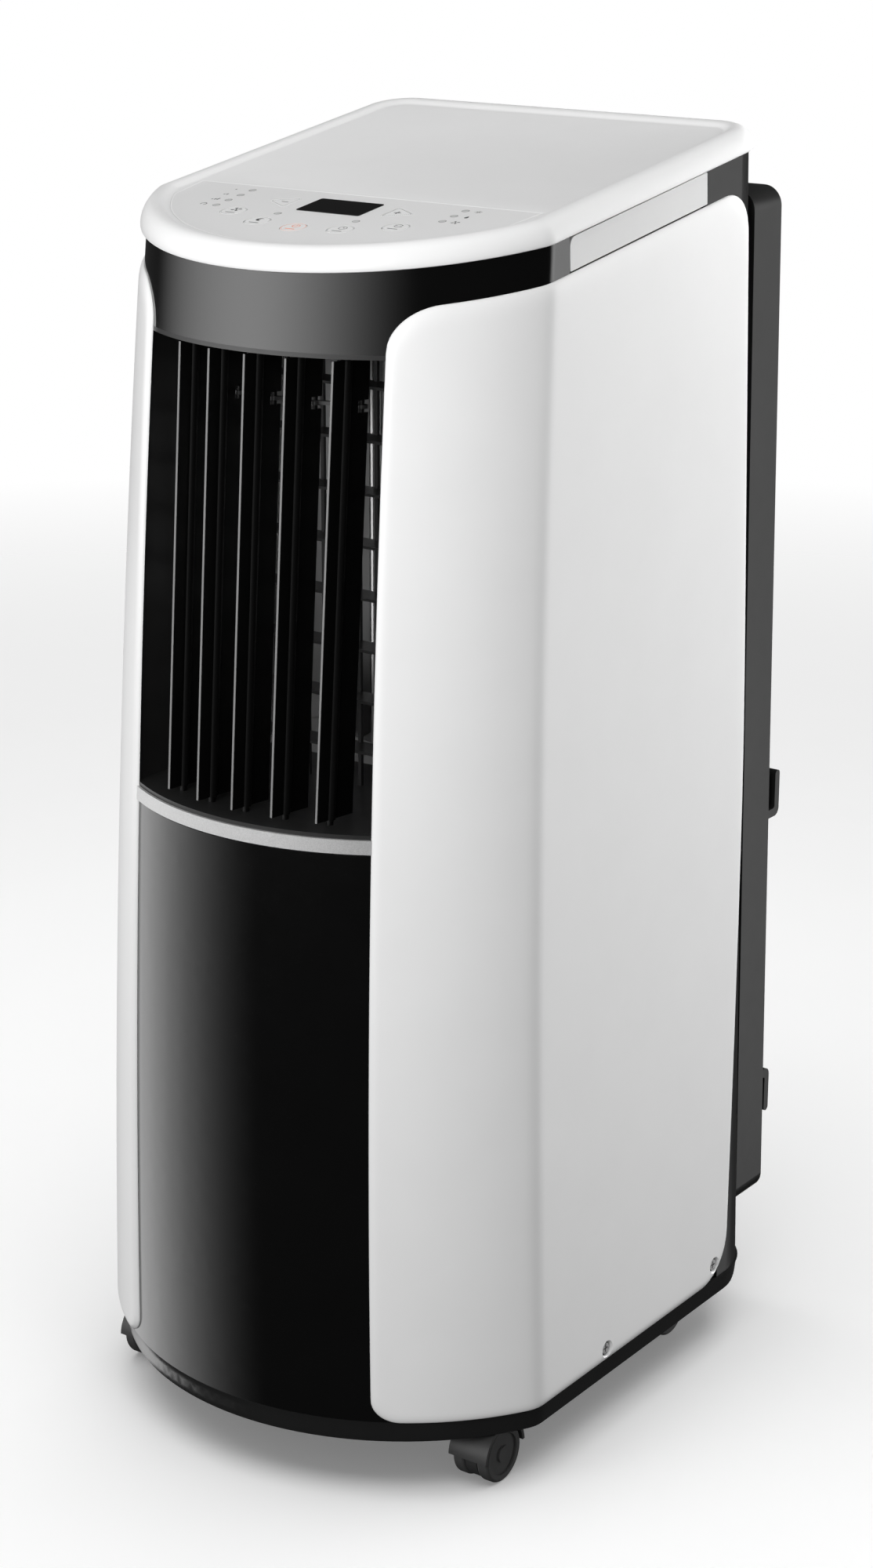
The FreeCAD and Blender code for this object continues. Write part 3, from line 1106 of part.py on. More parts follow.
SCREWS = side_panels()
front_panels()
vanes()
outlet()
upper_fan()
lower_fan()
rear_casing(SCREWS)
filters()
rear_fittings()
handles()
lid()
base_pan()
castors()
tray()
cooling_set()
controls()
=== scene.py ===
# %% [markdown]
# # A portable air conditioner
# The machine is a tall, narrow box on castors: two white side panels wrapped round a black
# body, a bowed front with an air outlet, and a sloping white lid with the controls. Its
# moving frame is already built, so this lesson gives that frame its surfaces. Each step says
# what the real piece is, how it could be made, and why it is made this way here.

import json
import math

import bmesh
import bpy
import numpy as np
from mathutils import Matrix, Vector

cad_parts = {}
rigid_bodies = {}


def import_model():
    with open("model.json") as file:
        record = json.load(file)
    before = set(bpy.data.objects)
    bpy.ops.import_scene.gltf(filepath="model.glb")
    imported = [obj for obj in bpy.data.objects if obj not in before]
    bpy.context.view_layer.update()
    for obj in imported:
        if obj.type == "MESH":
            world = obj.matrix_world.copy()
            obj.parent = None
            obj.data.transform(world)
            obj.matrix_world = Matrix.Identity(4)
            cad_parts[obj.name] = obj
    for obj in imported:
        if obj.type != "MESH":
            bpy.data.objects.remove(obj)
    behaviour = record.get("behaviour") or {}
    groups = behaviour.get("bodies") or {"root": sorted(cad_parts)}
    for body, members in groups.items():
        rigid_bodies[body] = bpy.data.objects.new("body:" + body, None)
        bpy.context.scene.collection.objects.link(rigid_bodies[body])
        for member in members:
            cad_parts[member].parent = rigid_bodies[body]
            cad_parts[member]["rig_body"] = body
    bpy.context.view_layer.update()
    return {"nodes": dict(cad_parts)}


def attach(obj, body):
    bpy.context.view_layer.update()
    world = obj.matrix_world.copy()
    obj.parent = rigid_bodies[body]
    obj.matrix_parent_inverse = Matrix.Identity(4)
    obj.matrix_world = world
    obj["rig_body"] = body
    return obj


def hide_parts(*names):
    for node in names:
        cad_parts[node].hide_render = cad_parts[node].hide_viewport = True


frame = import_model()

# %% [markdown]
# ## Shader sums written as sums
# A finish is a small network of nodes. Wiring it by hand hides the idea, so one class wraps a
# socket and turns `1 - mask` or `0.3 + 0.1 * grain` into Math nodes. A second class is the
# finish itself: it makes any other node from its type, its settings and what goes into it.

# %% Wires and finishes
class Wire:
    """One output of a node. Arithmetic on it adds the Math node that does the sum."""

    def __init__(self, finish, socket):
        self.finish = finish
        self.socket = socket

    def sum_with(self, operation, first, second):
        return self.finish.node("ShaderNodeMath", {"operation": operation}, {0: first, 1: second})

    def __add__(self, other):
        return self.sum_with("ADD", self, other)

    __radd__ = __add__

    def __sub__(self, other):
        return self.sum_with("SUBTRACT", self, other)

    def __rsub__(self, other):
        return self.sum_with("SUBTRACT", other, self)

    def __mul__(self, other):
        return self.sum_with("MULTIPLY", self, other)

    __rmul__ = __mul__

    def __gt__(self, other):
        return self.sum_with("GREATER_THAN", self, other)

    def __lt__(self, other):
        return self.sum_with("LESS_THAN", self, other)


class Finish:
    """A material: one Principled shader, with constants set straight on its sockets."""

    def __init__(self, name, **constants):
        self.material = bpy.data.materials.new(name)
        self.material.use_nodes = True
        self.tree = self.material.node_tree
        self.shader = self.tree.nodes["Principled BSDF"]
        for socket, value in constants.items():
            self.shader.inputs[socket.replace("_", " ")].default_value = value
        self.place = self.node("ShaderNodeTexCoord", {}, {}, "Object")

    def node(self, kind, settings, sockets, output=0):
        made = self.tree.nodes.new(kind)
        for key, value in settings.items():
            setattr(made, key, value)
        for key, value in sockets.items():
            if isinstance(value, Wire):
                self.tree.links.new(value.socket, made.inputs[key])
            else:
                made.inputs[key].default_value = value
        return Wire(self, made.outputs[output])

    def feed(self, **wires):
        for socket, wire in wires.items():
            self.tree.links.new(wire.socket, self.shader.inputs[socket.replace("_", " ")])
        return self

    def noise(self, size, detail=2.0, roughness=0.5):
        """Cloudy noise from 0 to 1 whose lumps are about size millimetres wide."""
        return self.node("ShaderNodeTexNoise", {}, {"Vector": self.place, "Scale": 1000 / size,
                                                    "Detail": detail, "Roughness": roughness})

    def between(self, factor, first, second):
        """A colour that goes from first to second as factor goes from 0 to 1."""
        return self.node("ShaderNodeMix", {"data_type": "RGBA"},
                         {0: factor, 6: first, 7: second}, 2)

    def axis(self, name):
        """One coordinate of the surface point, in millimetres."""
        apart = self.node("ShaderNodeSeparateXYZ", {}, {"Vector": self.place}, name)
        return apart * 1000.0

    def relief(self, height, depth, under=None):
        """Bump: a height of 1 stands depth millimetres proud."""
        sockets = {"Height": height, "Distance": depth / 1000.0, "Strength": 1.0}
        if under is not None:
            sockets["Normal"] = under
        return self.node("ShaderNodeBump", {}, sockets)


def grey(value):
    return (value, value, value, 1.0)


def add_object(name, data):
    """Puts data into the scene as an object."""
    made = bpy.data.objects.new(name, data)
    bpy.context.scene.collection.objects.link(made)
    return made


print("node helpers ready")

# %% [markdown]
# ## Moulded plastic
# Nearly every piece is injection moulded. A mould leaves three things to see: a very fine
# sparked grain, slow waviness where the wall shrank as it cooled, and a slight change of tone.
# One recipe covers them all, and each plastic gives its own colour, gloss and grain to it. The
# vanes also get a painted highlight: a paler grey line down their leading edges stands in for
# the light those edges catch. It is kept to surfaces that face the front and stand as far
# forward as the bowed row of vanes does.

# %% A recipe for moulded plastic
def moulded(name, dark, light, gloss, spread, grain, grain_depth, **more):
    """dark and light: the two tones; gloss: roughness, which varies by spread."""
    finish = Finish(name, **more)
    cloud = finish.noise(38.0, 3.0)
    fine = finish.noise(grain, 2.0, 0.6)
    finish.feed(Base_Color=finish.between(cloud, dark, light),
                Roughness=gloss + spread * (finish.noise(9.0, 4.0) - 0.5) + 0.05 * (fine - 0.5))
    wavy = finish.relief(finish.noise(60.0, 1.0), 0.12)
    finish.feed(Normal=finish.relief(fine, grain_depth, wavy))
    return finish


satin_white = moulded("satin_white", grey(0.79), grey(0.825), 0.36, 0.06, 0.7, 0.004)
key_white = moulded("key_white", grey(0.78), grey(0.81), 0.38, 0.05, 0.6, 0.003)
light_grey = moulded("light_grey", grey(0.62), grey(0.66), 0.34, 0.06, 0.6, 0.003)
grained_black = moulded("grained_black", grey(0.012), grey(0.018), 0.32, 0.10, 0.9, 0.012)
vane_black = moulded("vane_black", grey(0.0025), grey(0.004), 0.42, 0.08, 0.8, 0.006,
                     Specular_IOR_Level=0.25)
inner_grey = moulded("inner_grey", grey(0.42), grey(0.50), 0.45, 0.08, 1.0, 0.010)
fan_grey = moulded("fan_grey", grey(0.16), grey(0.20), 0.5, 0.08, 1.0, 0.010)
plinth_black = moulded("plinth_black", grey(0.010), grey(0.014), 0.24, 0.06, 0.8, 0.005,
                       Coat_Weight=0.4)
castor_black = moulded("castor_black", grey(0.020), grey(0.032), 0.46, 0.10, 0.8, 0.012)
tread_grey = moulded("tread_grey", grey(0.032), grey(0.048), 0.55, 0.10, 0.7, 0.015)
soft_rubber = moulded("soft_rubber", grey(0.014), grey(0.022), 0.68, 0.08, 1.2, 0.02)
# Painted highlight on the vanes: a paler grey down their leading edges stands in for the light
# they catch.
FACES_FRONT = -0.72
NOSE_HEIGHT = 403.0
NOSE_MIDDLE = -181.0
NOSE_LEAN = 0.0713
NOSE_BOW = 0.00303
facing = vane_black.node("ShaderNodeTexCoord", {}, {}, "Normal")
forward = vane_black.node("ShaderNodeSeparateXYZ", {}, {"Vector": facing}, "Y") < FACES_FRONT
across = vane_black.axis("X")
reached = (NOSE_MIDDLE + NOSE_LEAN * (vane_black.axis("Z") - NOSE_HEIGHT)
           + NOSE_BOW * (across * across))
painted_nose_highlight = forward * (vane_black.axis("Y") < reached)
# Painted highlight: grey 0.20 where a vane's nose faces the front, near-black elsewhere.
vane_black.feed(Base_Color=vane_black.between(painted_nose_highlight, grey(0.003), grey(0.20)))
print("moulded plastics ready")

# %% [markdown]
# ## Piano black
# The band and the lower front panel are polished plastic under a clear lacquer. What shows is
# the room: the surface itself is almost black. A coat over a dark base gives the two layers,
# and faint polishing haze and a few specks of dust keep it from looking like a mirror.

# %% Polished black, tinted window and silver paint
def polished_black(name, tone, haze):
    finish = Finish(name, Coat_Weight=0.6, Coat_Roughness=0.03, Specular_IOR_Level=0.4)
    cloud = finish.noise(45.0, 3.0)
    dust = finish.noise(0.9, 1.0) > 0.74
    finish.feed(Base_Color=finish.between(cloud, grey(tone), grey(tone * 1.6)),
                Roughness=haze + 0.08 * (finish.noise(14.0, 5.0) - 0.5) + 0.12 * dust)
    finish.feed(Normal=finish.relief(finish.noise(70.0, 1.0), 0.10))
    return finish


piano_black = polished_black("piano_black", 0.0016, 0.14)
tinted_window = polished_black("tinted_window", 0.0012, 0.06)

silver_paint = Finish("silver_paint", Metallic=0.55)
flakes = silver_paint.node("ShaderNodeTexVoronoi", {}, {"Vector": silver_paint.place,
                                                        "Scale": 2600.0}, "Color")
flake_tone = silver_paint.node("ShaderNodeRGBToBW", {}, {"Color": flakes})
silver_paint.feed(Base_Color=silver_paint.between(flake_tone, grey(0.50), grey(0.66)),
                  Roughness=0.30 + 0.12 * flake_tone,
                  Normal=silver_paint.relief(silver_paint.noise(0.8), 0.003))
print("polished and painted finishes ready")

# %% [markdown]
# ## Metals and the parts inside
# Through the outlet, the filters and the open base a little of the machinery shows: pressed
# fins, drawn copper, zinc screws and an enamelled compressor. Fins are far too thin to model
# one by one, so a wave across the coil paints pale bands for their edges and dark bands of
# painted shade for the gaps between them, and its bump folds the light the way their edges do.

# %% Inner finishes
zinc = Finish("zinc", Metallic=1.0)
zinc.feed(Base_Color=zinc.between(zinc.noise(3.0, 4.0), grey(0.42), grey(0.62)),
          Roughness=0.28 + 0.2 * zinc.noise(1.2, 3.0),
          Normal=zinc.relief(zinc.noise(0.4), 0.006))

pressed_fins = Finish("pressed_fins", Metallic=0.9)
fin_edges_and_gap_shade = pressed_fins.node("ShaderNodeTexWave", {"wave_type": "BANDS", "bands_direction": "X"},
                          {"Vector": pressed_fins.place, "Scale": 175.0, "Distortion": 0.3})
# Painted shade: the dark bands (0.10) stand for the shade in the gaps between fins, the pale bands
# (0.72) for their edges.
pressed_fins.feed(Base_Color=pressed_fins.between(fin_edges_and_gap_shade, grey(0.10), grey(0.72)),
                  Roughness=0.3 + 0.2 * pressed_fins.noise(2.0),
                  Normal=pressed_fins.relief(fin_edges_and_gap_shade, 0.6))

copper = Finish("copper", Metallic=1.0)
tarnish = copper.noise(7.0, 4.0)
copper.feed(Base_Color=copper.between(tarnish, (0.36, 0.15, 0.08, 1), (0.72, 0.36, 0.22, 1)),
            Roughness=0.25 + 0.3 * tarnish,
            Normal=copper.relief(copper.noise(1.5), 0.01))

enamel = moulded("enamel", grey(0.012), grey(0.02), 0.25, 0.08, 1.6, 0.02, Coat_Weight=0.3)
board_green = Finish("board_green", Coat_Weight=0.4)
tracks = board_green.node("ShaderNodeTexBrick", {"offset": 0.5},
                          {"Vector": board_green.place, "Scale": 160.0, "Mortar Size": 0.04},
                          "Fac")
board_green.feed(Base_Color=board_green.between(tracks, (0.02, 0.12, 0.05, 1),
                                                (0.04, 0.22, 0.09, 1)),
                 Roughness=0.35 + 0.2 * board_green.noise(3.0),
                 Normal=board_green.relief(tracks, 0.03))
print("inner finishes ready")

# %% [markdown]
# ## The control film
# The keys sit in a printed film with a satin top coat. Its print is real thin ink here, so the
# film itself only needs a soft sheen. The lamps under it are clear plugs that light nothing at
# rest.

# %% Film, lamps and inks
satin_film = moulded("satin_film", grey(0.78), grey(0.80), 0.30, 0.05, 0.35, 0.002)
clear_lens = moulded("clear_lens", grey(0.70), grey(0.78), 0.12, 0.04, 0.8, 0.002,
                     Coat_Weight=0.5)
grey_ink = moulded("grey_ink", grey(0.06), grey(0.10), 0.5, 0.1, 0.3, 0.002)
pale_ink = moulded("pale_ink", grey(0.26), grey(0.32), 0.5, 0.1, 0.3, 0.002)
white_ink = moulded("white_ink", grey(0.90), grey(0.94), 0.35, 0.1, 0.3, 0.002)
orange_ink = moulded("orange_ink", (0.78, 0.16, 0.05, 1), (0.86, 0.26, 0.10, 1), 0.5, 0.1,
                     0.3, 0.002)
print("film finishes ready")

# %% [markdown]
# ## Finishes on the carried-over pieces
# Most pieces of the frame already have the right shape, so they stay and only change their
# finish. The record names a finish for each, and this table turns those names into ours. The
# plinth alone takes a glossier black than the other black pieces.

# %% Dress the frame
FINISHES = {
    "white_plastic": satin_white, "gloss_black": piano_black, "silver_paint": silver_paint,
    "grey_plastic": light_grey, "black_plastic": grained_black, "vane_plastic": vane_black,
    "inner_plastic": inner_grey, "fan_plastic": fan_grey, "steel": zinc,
    "film_print": satin_film, "key_plastic": key_white, "display_black": tinted_window,
    "lens_clear": clear_lens, "board_green": board_green, "coil_fins": pressed_fins,
    "copper_pipe": copper, "black_enamel": enamel, "rubber": soft_rubber,
    "castor_plastic": castor_black, "castor_tread": tread_grey,
}
for node in frame["nodes"].values():
    for holder in node.material_slots:
        holder.material = FINISHES[holder.material.name].material
frame["nodes"]["base_pan"].material_slots[0].material = plinth_black.material
print("dressed", len(frame["nodes"]), "nodes in", len(FINISHES), "finishes")

# %% [markdown]
# ## The shape of the body
# Seen from above, the body is a bow at the front, two tight corners, straight sides and two
# rounder corners at the back. It narrows as it rises, and the bow leans. The same few sizes,
# in millimetres, place every new skin exactly on the frame.

# %% Sizes of the body
BASE_Z = 36.0
LID_SLOPE = math.radians(8.28)
LID_BACK = (0.0, 156.5, 756.2)
BASE_HALF_WIDTH = 160.5
TOP_HALF_WIDTH = 137.6
FRONT_Y = -183.2
FRONT_BULGE = 8.9
FRONT_LEAN = 17.0
REAR_Y = 158.0
BOW = 94.0
FRONT_CORNER = 23.0
REAR_CORNER_BASE = 46.0
REAR_CORNER_TOP = 30.0
MID_Z = 400.0
HALF_SPAN = 340.0


def share_of_height(z):
    return (z - BASE_Z) / (LID_BACK[2] - BASE_Z)


def half_width(z):
    return BASE_HALF_WIDTH - (BASE_HALF_WIDTH - TOP_HALF_WIDTH) * share_of_height(z)


def front_middle(z):
    t = (z - MID_Z) / HALF_SPAN
    return FRONT_Y - FRONT_BULGE * (1 - t * t) + FRONT_LEAN * t


def rear_corner(z):
    return REAR_CORNER_BASE + (REAR_CORNER_TOP - REAR_CORNER_BASE) * share_of_height(z)


def bow_radius(half):
    return (half * half + BOW * BOW) / (2 * BOW)


def lid_line(y, drop):
    """Height of the plane drop below the lid's lower edge."""
    return (LID_BACK[2] + (y - LID_BACK[1]) * math.tan(LID_SLOPE)
            - drop / math.cos(LID_SLOPE))


print("front radius at the lid", round(bow_radius(TOP_HALF_WIDTH), 1), "mm")

# %% [markdown]
# ## Turning numbers into pieces
# Every new skin ends the same way: points in millimetres become a mesh in metres, faces are
# shaded smooth except across sharp corners, and the piece is given the body that carries it and
# the finish it takes, while the plain solids it stands for are hidden.

# %% A helper that makes a piece
def make_piece(name, points, faces, finish, body, replaced=(), corner=32.0):
    mesh = bpy.data.meshes.new(name)
    mesh.from_pydata([tuple(c / 1000.0 for c in p) for p in points], [], faces)
    mesh.validate()
    tidy = bmesh.new()
    tidy.from_mesh(mesh)
    bmesh.ops.recalc_face_normals(tidy, faces=tidy.faces)
    tidy.to_mesh(mesh)
    tidy.free()
    mesh.shade_smooth()
    mesh.set_sharp_from_angle(angle=math.radians(corner))
    mesh.materials.append(finish.material)
    piece = add_object(name, mesh)
    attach(piece, body)
    if replaced:
        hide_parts(*replaced)
    return piece


def ring_faces(rings, count):
    """Faces between closed rings of count points each, one ring after the other."""
    return [(i * count + k, i * count + (k + 1) % count, (i + 1) * count + (k + 1) % count,
             (i + 1) * count + k) for i in range(rings - 1) for k in range(count)]


print("piece helpers ready")

# %% [markdown]
# ## Walking round the body
# A side panel is a sheet bent round the front corner. It is easiest to draw flat: one number
# is the distance walked round the body at a given height, the other is the height. This
# function takes such a flat point, and a depth below the skin, back to its place in space.

# %% From flat to bent
def bend_of(z):
    half = half_width(z)
    big = bow_radius(half)
    centre = front_middle(z) + big
    corner_x = half - FRONT_CORNER
    corner_y = centre - math.sqrt((big - FRONT_CORNER) ** 2 - corner_x ** 2)
    lean = math.atan2(centre - corner_y, corner_x)
    return half, big, centre, corner_x, corner_y, lean


def skin_point(walk, z, depth):
    """walk is 0 where the straight side begins, and negative towards the front."""
    half, big, centre, corner_x, corner_y, lean = bend_of(z)
    back = rear_corner(z)
    straight = REAR_Y - back - corner_y
    if walk > straight:
        turn = (walk - straight) / back
        return (half - back + (back - depth) * math.cos(turn),
                REAR_Y - back + (back - depth) * math.sin(turn), z)
    if walk >= 0:
        return half - depth, corner_y + walk, z
    turn = -walk / FRONT_CORNER
    if turn <= lean:
        reach = FRONT_CORNER - depth
        return corner_x + reach * math.cos(turn), corner_y - reach * math.sin(turn), z
    turn = lean + (-walk - lean * FRONT_CORNER) / big
    return (big - depth) * math.cos(turn), centre - (big - depth) * math.sin(turn), z


def walk_at_x(x, z):
    _, big, _, _, _, lean = bend_of(z)
    return -(lean * FRONT_CORNER + big * (math.acos(x / big) - lean))


def walk_at_y(y, z):
    corner_y = bend_of(z)[4]
    back = rear_corner(z)
    begins = REAR_Y - back
    if y <= begins:
        return y - corner_y
    return begins - corner_y + back * math.asin((y - begins) / back)


print("front corner begins", round(bend_of(MID_Z)[4], 1), "mm from the middle")

# %% [markdown]
# ## The outline of a side panel
# The panel has four slightly curved sides: an upright inner edge beside the outlet, a top that
# runs parallel to the lid, a bowed rear edge and a level foot. Each meets the next in a round
# corner of its own size.

# %% Draw the outline flat
PANEL_FOOT = 50.0
PANEL_DROP = 20.3
INNER_EDGE_X = 85.0
INNER_EDGE_TAPER = 4.0
REAR_EDGE = ((PANEL_FOOT, 109.0), (MID_Z, 133.5), (735.0, 134.5))
REAR_EASE = 60.0
FIRST_GUESS = 700.0
TOP_STEPS = 12
MEETING_STEPS = 30
CORNER_SIZES = {"inner_foot": (18.0, 14.0), "rear_foot": (30.0, 30.0),
                "rear_top": (25.0, 25.0), "inner_top": (30.0, 22.0)}


def inner_edge(z):
    return walk_at_x(INNER_EDGE_X - INNER_EDGE_TAPER * (z - MID_Z) / HALF_SPAN, z)


def rear_edge(z):
    """A soft bow through the three stated points."""
    (z0, y0), (z1, y1), (z2, y2) = REAR_EDGE
    if z < z1 - REAR_EASE:
        y = y0 + (y1 - y0) * (z - z0) / (z1 - z0)
    elif z > z1 + REAR_EASE:
        y = y1 + (y2 - y1) * (z - z1) / (z2 - z1)
    else:
        t = (z - z1 + REAR_EASE) / (2 * REAR_EASE)
        first = (y1 - y0) / (z1 - z0)
        last = (y2 - y1) / (z2 - z1)
        y = (y1 - REAR_EASE * first
             + 2 * REAR_EASE * (first * t + (last - first) * t * t / 2))
    return walk_at_y(y, z)


def top_height(walk):
    z = FIRST_GUESS
    for _ in range(TOP_STEPS):
        z = lid_line(skin_point(walk, z, 0.0)[1], PANEL_DROP)
    return z


def meeting(edge):
    """Height at which an upright edge meets the top."""
    z = FIRST_GUESS
    for _ in range(MEETING_STEPS):
        z = top_height(edge(z))
    return z


def shorten(line, at_start, at_end):
    """Cuts a length off each end of a polyline."""
    steps = np.linalg.norm(np.diff(line, axis=0), axis=1)
    along = np.concatenate([[0], np.cumsum(steps)])
    wanted = np.linspace(at_start, along[-1] - at_end, len(line))
    return np.column_stack([np.interp(wanted, along, line[:, k]) for k in (0, 1)])


def round_off(start, point, end, count=24):
    """Arc-like curve from start to end that point pulls at."""
    t = np.linspace(0, 1, count)[:, None]
    w = math.sqrt(0.5)
    weight = (1 - t) ** 2 + 2 * w * t * (1 - t) + t * t
    return ((1 - t) ** 2 * start + 2 * w * t * (1 - t) * point + t * t * end) / weight


inner_top_z = meeting(inner_edge)
rear_top_z = meeting(rear_edge)
heights = np.linspace(0, 1, 400)
foot = np.array([(w, PANEL_FOOT) for w in inner_edge(PANEL_FOOT) + heights
                 * (rear_edge(PANEL_FOOT) - inner_edge(PANEL_FOOT))])
rear = np.array([(rear_edge(z), z) for z in PANEL_FOOT + heights * (rear_top_z - PANEL_FOOT)])
top = np.array([(w, top_height(w)) for w in inner_edge(inner_top_z) + heights
                * (rear_edge(rear_top_z) - inner_edge(inner_top_z))])
inner = np.array([(inner_edge(z), z)
                  for z in PANEL_FOOT + heights * (inner_top_z - PANEL_FOOT)])
print("panel top runs from", round(inner_top_z, 1), "to", round(rear_top_z, 1), "mm")

# %% [markdown]
# ## A mesh that follows its own edge
# If rows of faces run parallel to the outline, the rolled edge stays clean all the way round.
# Splitting each corner in half gives four sides, and blending between opposite sides fills
# the sheet. The rows crowd together at the edge, where the roll needs them.

# %% Fill the outline with rows
EDGE_ROWS = np.array([0, .25, .6, 1.1, 1.8, 2.6, 3.6, 4.8, 6.2, 8.0, 10.5, 14.0, 19.0])
EDGE_BAND = 24.0
SHEET_WIDTH, ACROSS_STEP = 345.0, 4.2
SHEET_HEIGHT, UP_STEP = 640.0, 9.0


def closed_sides():
    """The four sides, each from the middle of one corner to the middle of the next."""
    sizes = CORNER_SIZES
    cut_foot = shorten(foot, sizes["inner_foot"][0], sizes["rear_foot"][0])
    cut_rear = shorten(rear, sizes["rear_foot"][1], sizes["rear_top"][1])
    cut_top = shorten(top, sizes["inner_top"][0], sizes["rear_top"][0])
    cut_inner = shorten(inner, sizes["inner_foot"][1], sizes["inner_top"][1])
    foot_inner = round_off(cut_inner[0], foot[0], cut_foot[0])
    foot_rear = round_off(cut_foot[-1], foot[-1], cut_rear[0])
    top_rear = round_off(cut_rear[-1], top[-1], cut_top[-1])
    top_inner = round_off(cut_top[0], top[0], cut_inner[-1])
    h = len(foot_inner) // 2
    return (np.vstack([foot_inner[h:], cut_foot, foot_rear[:h + 1]]),
            np.vstack([foot_rear[h:], cut_rear, top_rear[:h + 1]]),
            np.vstack([top_inner[h::-1], cut_top, top_rear[:h - 1:-1]]),
            np.vstack([foot_inner[h::-1], cut_inner, top_inner[:h - 1:-1]]))


def sampled(line, shares):
    steps = np.linalg.norm(np.diff(line, axis=0), axis=1)
    along = np.concatenate([[0], np.cumsum(steps)])
    return np.column_stack([np.interp(np.array(shares) * along[-1], along, line[:, k])
                            for k in (0, 1)])


def crowded(length, step):
    """Shares from 0 to 1: fine rows at both ends, step millimetres apart between them."""
    count = max(3, int((length - 2 * EDGE_BAND) / step))
    middle = np.linspace(EDGE_BAND, length - EDGE_BAND, count)
    return np.concatenate([EDGE_ROWS, middle, length - EDGE_ROWS[::-1]]) / length


def patch(foot_side, rear_side, top_side, inner_side, across, up):
    a, b = sampled(foot_side, across), sampled(top_side, across)
    c, d = sampled(inner_side, up), sampled(rear_side, up)
    u, v = across[None, :, None], up[:, None, None]
    corners = ((1 - u) * (1 - v) * a[0] + u * (1 - v) * a[-1]
               + (1 - u) * v * b[0] + u * v * b[-1])
    return (1 - v) * a[None] + v * b[None] + (1 - u) * c[:, None] + u * d[:, None] - corners


sides = closed_sides()
across = crowded(SHEET_WIDTH, ACROSS_STEP)
up = crowded(SHEET_HEIGHT, UP_STEP)
sheet = patch(*sides, across, up)
print("side sheet", sheet.shape[1], "by", sheet.shape[0], "points")

# %% [markdown]
# ## The rolled edge
# A moulded panel never ends in a knife edge. It rolls over towards the body, more widely along
# the top than down the sides. The distance of each point from the outline gives its depth:
# a quarter of an ellipse, 3 mm deep and as wide as the roll.

# %% Side panels
ROLL_SIDE = 6.0
ROLL_TOP = 10.0
ROLL_DEPTH = 2.85
BACK_DEPTH = 2.94
TOP_BLEND = 30.0
CHUNK = 400
PANEL_SHARP = 50.0


def edge_distance(points):
    """Distance to the outline, and how much of the roll there is the top's."""
    outline = np.vstack([sides[0], sides[1], sides[2][::-1], sides[3][::-1]])
    keep = np.concatenate([[True], np.linalg.norm(np.diff(outline, axis=0), axis=1) > 1e-6])
    outline = outline[keep]
    start, run = outline[:-1], np.diff(outline, axis=0)
    nearest = np.full(len(points), 1e9)
    place = np.zeros(len(points))
    for k in range(0, len(points), CHUNK):
        some = points[k:k + CHUNK]
        away = some[:, None] - start[None]
        t = np.clip((away * run).sum(2) / (run * run).sum(1), 0, 1)
        gap = np.linalg.norm(away - t[..., None] * run[None], axis=2)
        nearest[k:k + CHUNK] = gap.min(1)
        place[k:k + CHUNK] = start[gap.argmin(1), 1] - [top_line(w) for w in
                                                        start[gap.argmin(1), 0]]
    return nearest, np.clip(1 + place / TOP_BLEND, 0, 1)


def top_line(walk):
    return float(np.interp(walk, top[:, 0], top[:, 1]))


flat = sheet.reshape(-1, 2)
distance, topness = edge_distance(flat)
topness = topness * topness * (3 - 2 * topness)
roll = ROLL_SIDE + (ROLL_TOP - ROLL_SIDE) * topness
depth = ROLL_DEPTH * (1 - np.sqrt(1 - np.clip(1 - distance / roll, 0, 1) ** 2))
rows, columns = sheet.shape[:2]


def sheet_faces(rows, columns):
    """Front faces, back faces and the rim between them."""
    index = np.arange(rows * columns).reshape(rows, columns)
    front = [(index[i, j], index[i, j + 1], index[i + 1, j + 1], index[i + 1, j])
             for i in range(rows - 1) for j in range(columns - 1)]
    count = rows * columns
    behind = [tuple(count + k for k in reversed(face)) for face in front]
    loop = (list(index[0, :]) + list(index[1:, -1]) + list(index[-1, -2::-1])
            + list(index[-2:0:-1, 0]))
    rim = [(loop[k], loop[k - 1], count + loop[k - 1], count + loop[k])
           for k in range(len(loop))]
    return [tuple(int(i) for i in face) for face in front + behind + rim]


def side_panel(name, way):
    points = [skin_point(w, z, d) for (w, z), d in zip(flat, depth)]
    points += [skin_point(w, z, BACK_DEPTH) for w, z in flat]
    points = [(way * x, y, z) for x, y, z in points]
    return make_piece(name + "_skin", points, sheet_faces(rows, columns), satin_white,
                      frame["nodes"][name]["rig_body"], (name,), PANEL_SHARP)


panels = {way: side_panel("side_panel_" + side, way) for side, way in (("left", -1),
                                                                     ("right", 1))}
print("side panels:", len(panels[1].data.vertices), "points each")

# %% [markdown]
# ## Screw wells
# Two screws near the foot hold each panel. Their heads lie in round wells whose mouths are
# chamfered, so that a driver finds them. A Boolean cut suits them, because the panel is flat
# there and the cut leaves no ripple.

# %% Cut the wells
SCREWS = ((-33.0, 58.0), (93.0, 62.0))
WELL = ((0.8, 6.2), (-0.7, 5.0), (-6.0, 4.6))
WELL_POINTS = 40


def turned(rings, count):
    """A round solid: each ring gives its height and radius."""
    points = [(h, r * math.cos(2 * math.pi * k / count), r * math.sin(2 * math.pi * k / count))
              for h, r in rings for k in range(count)]
    faces = ring_faces(len(rings), count)
    faces += [tuple(range(count)), tuple(range(len(points) - count, len(points)))]
    return points, faces


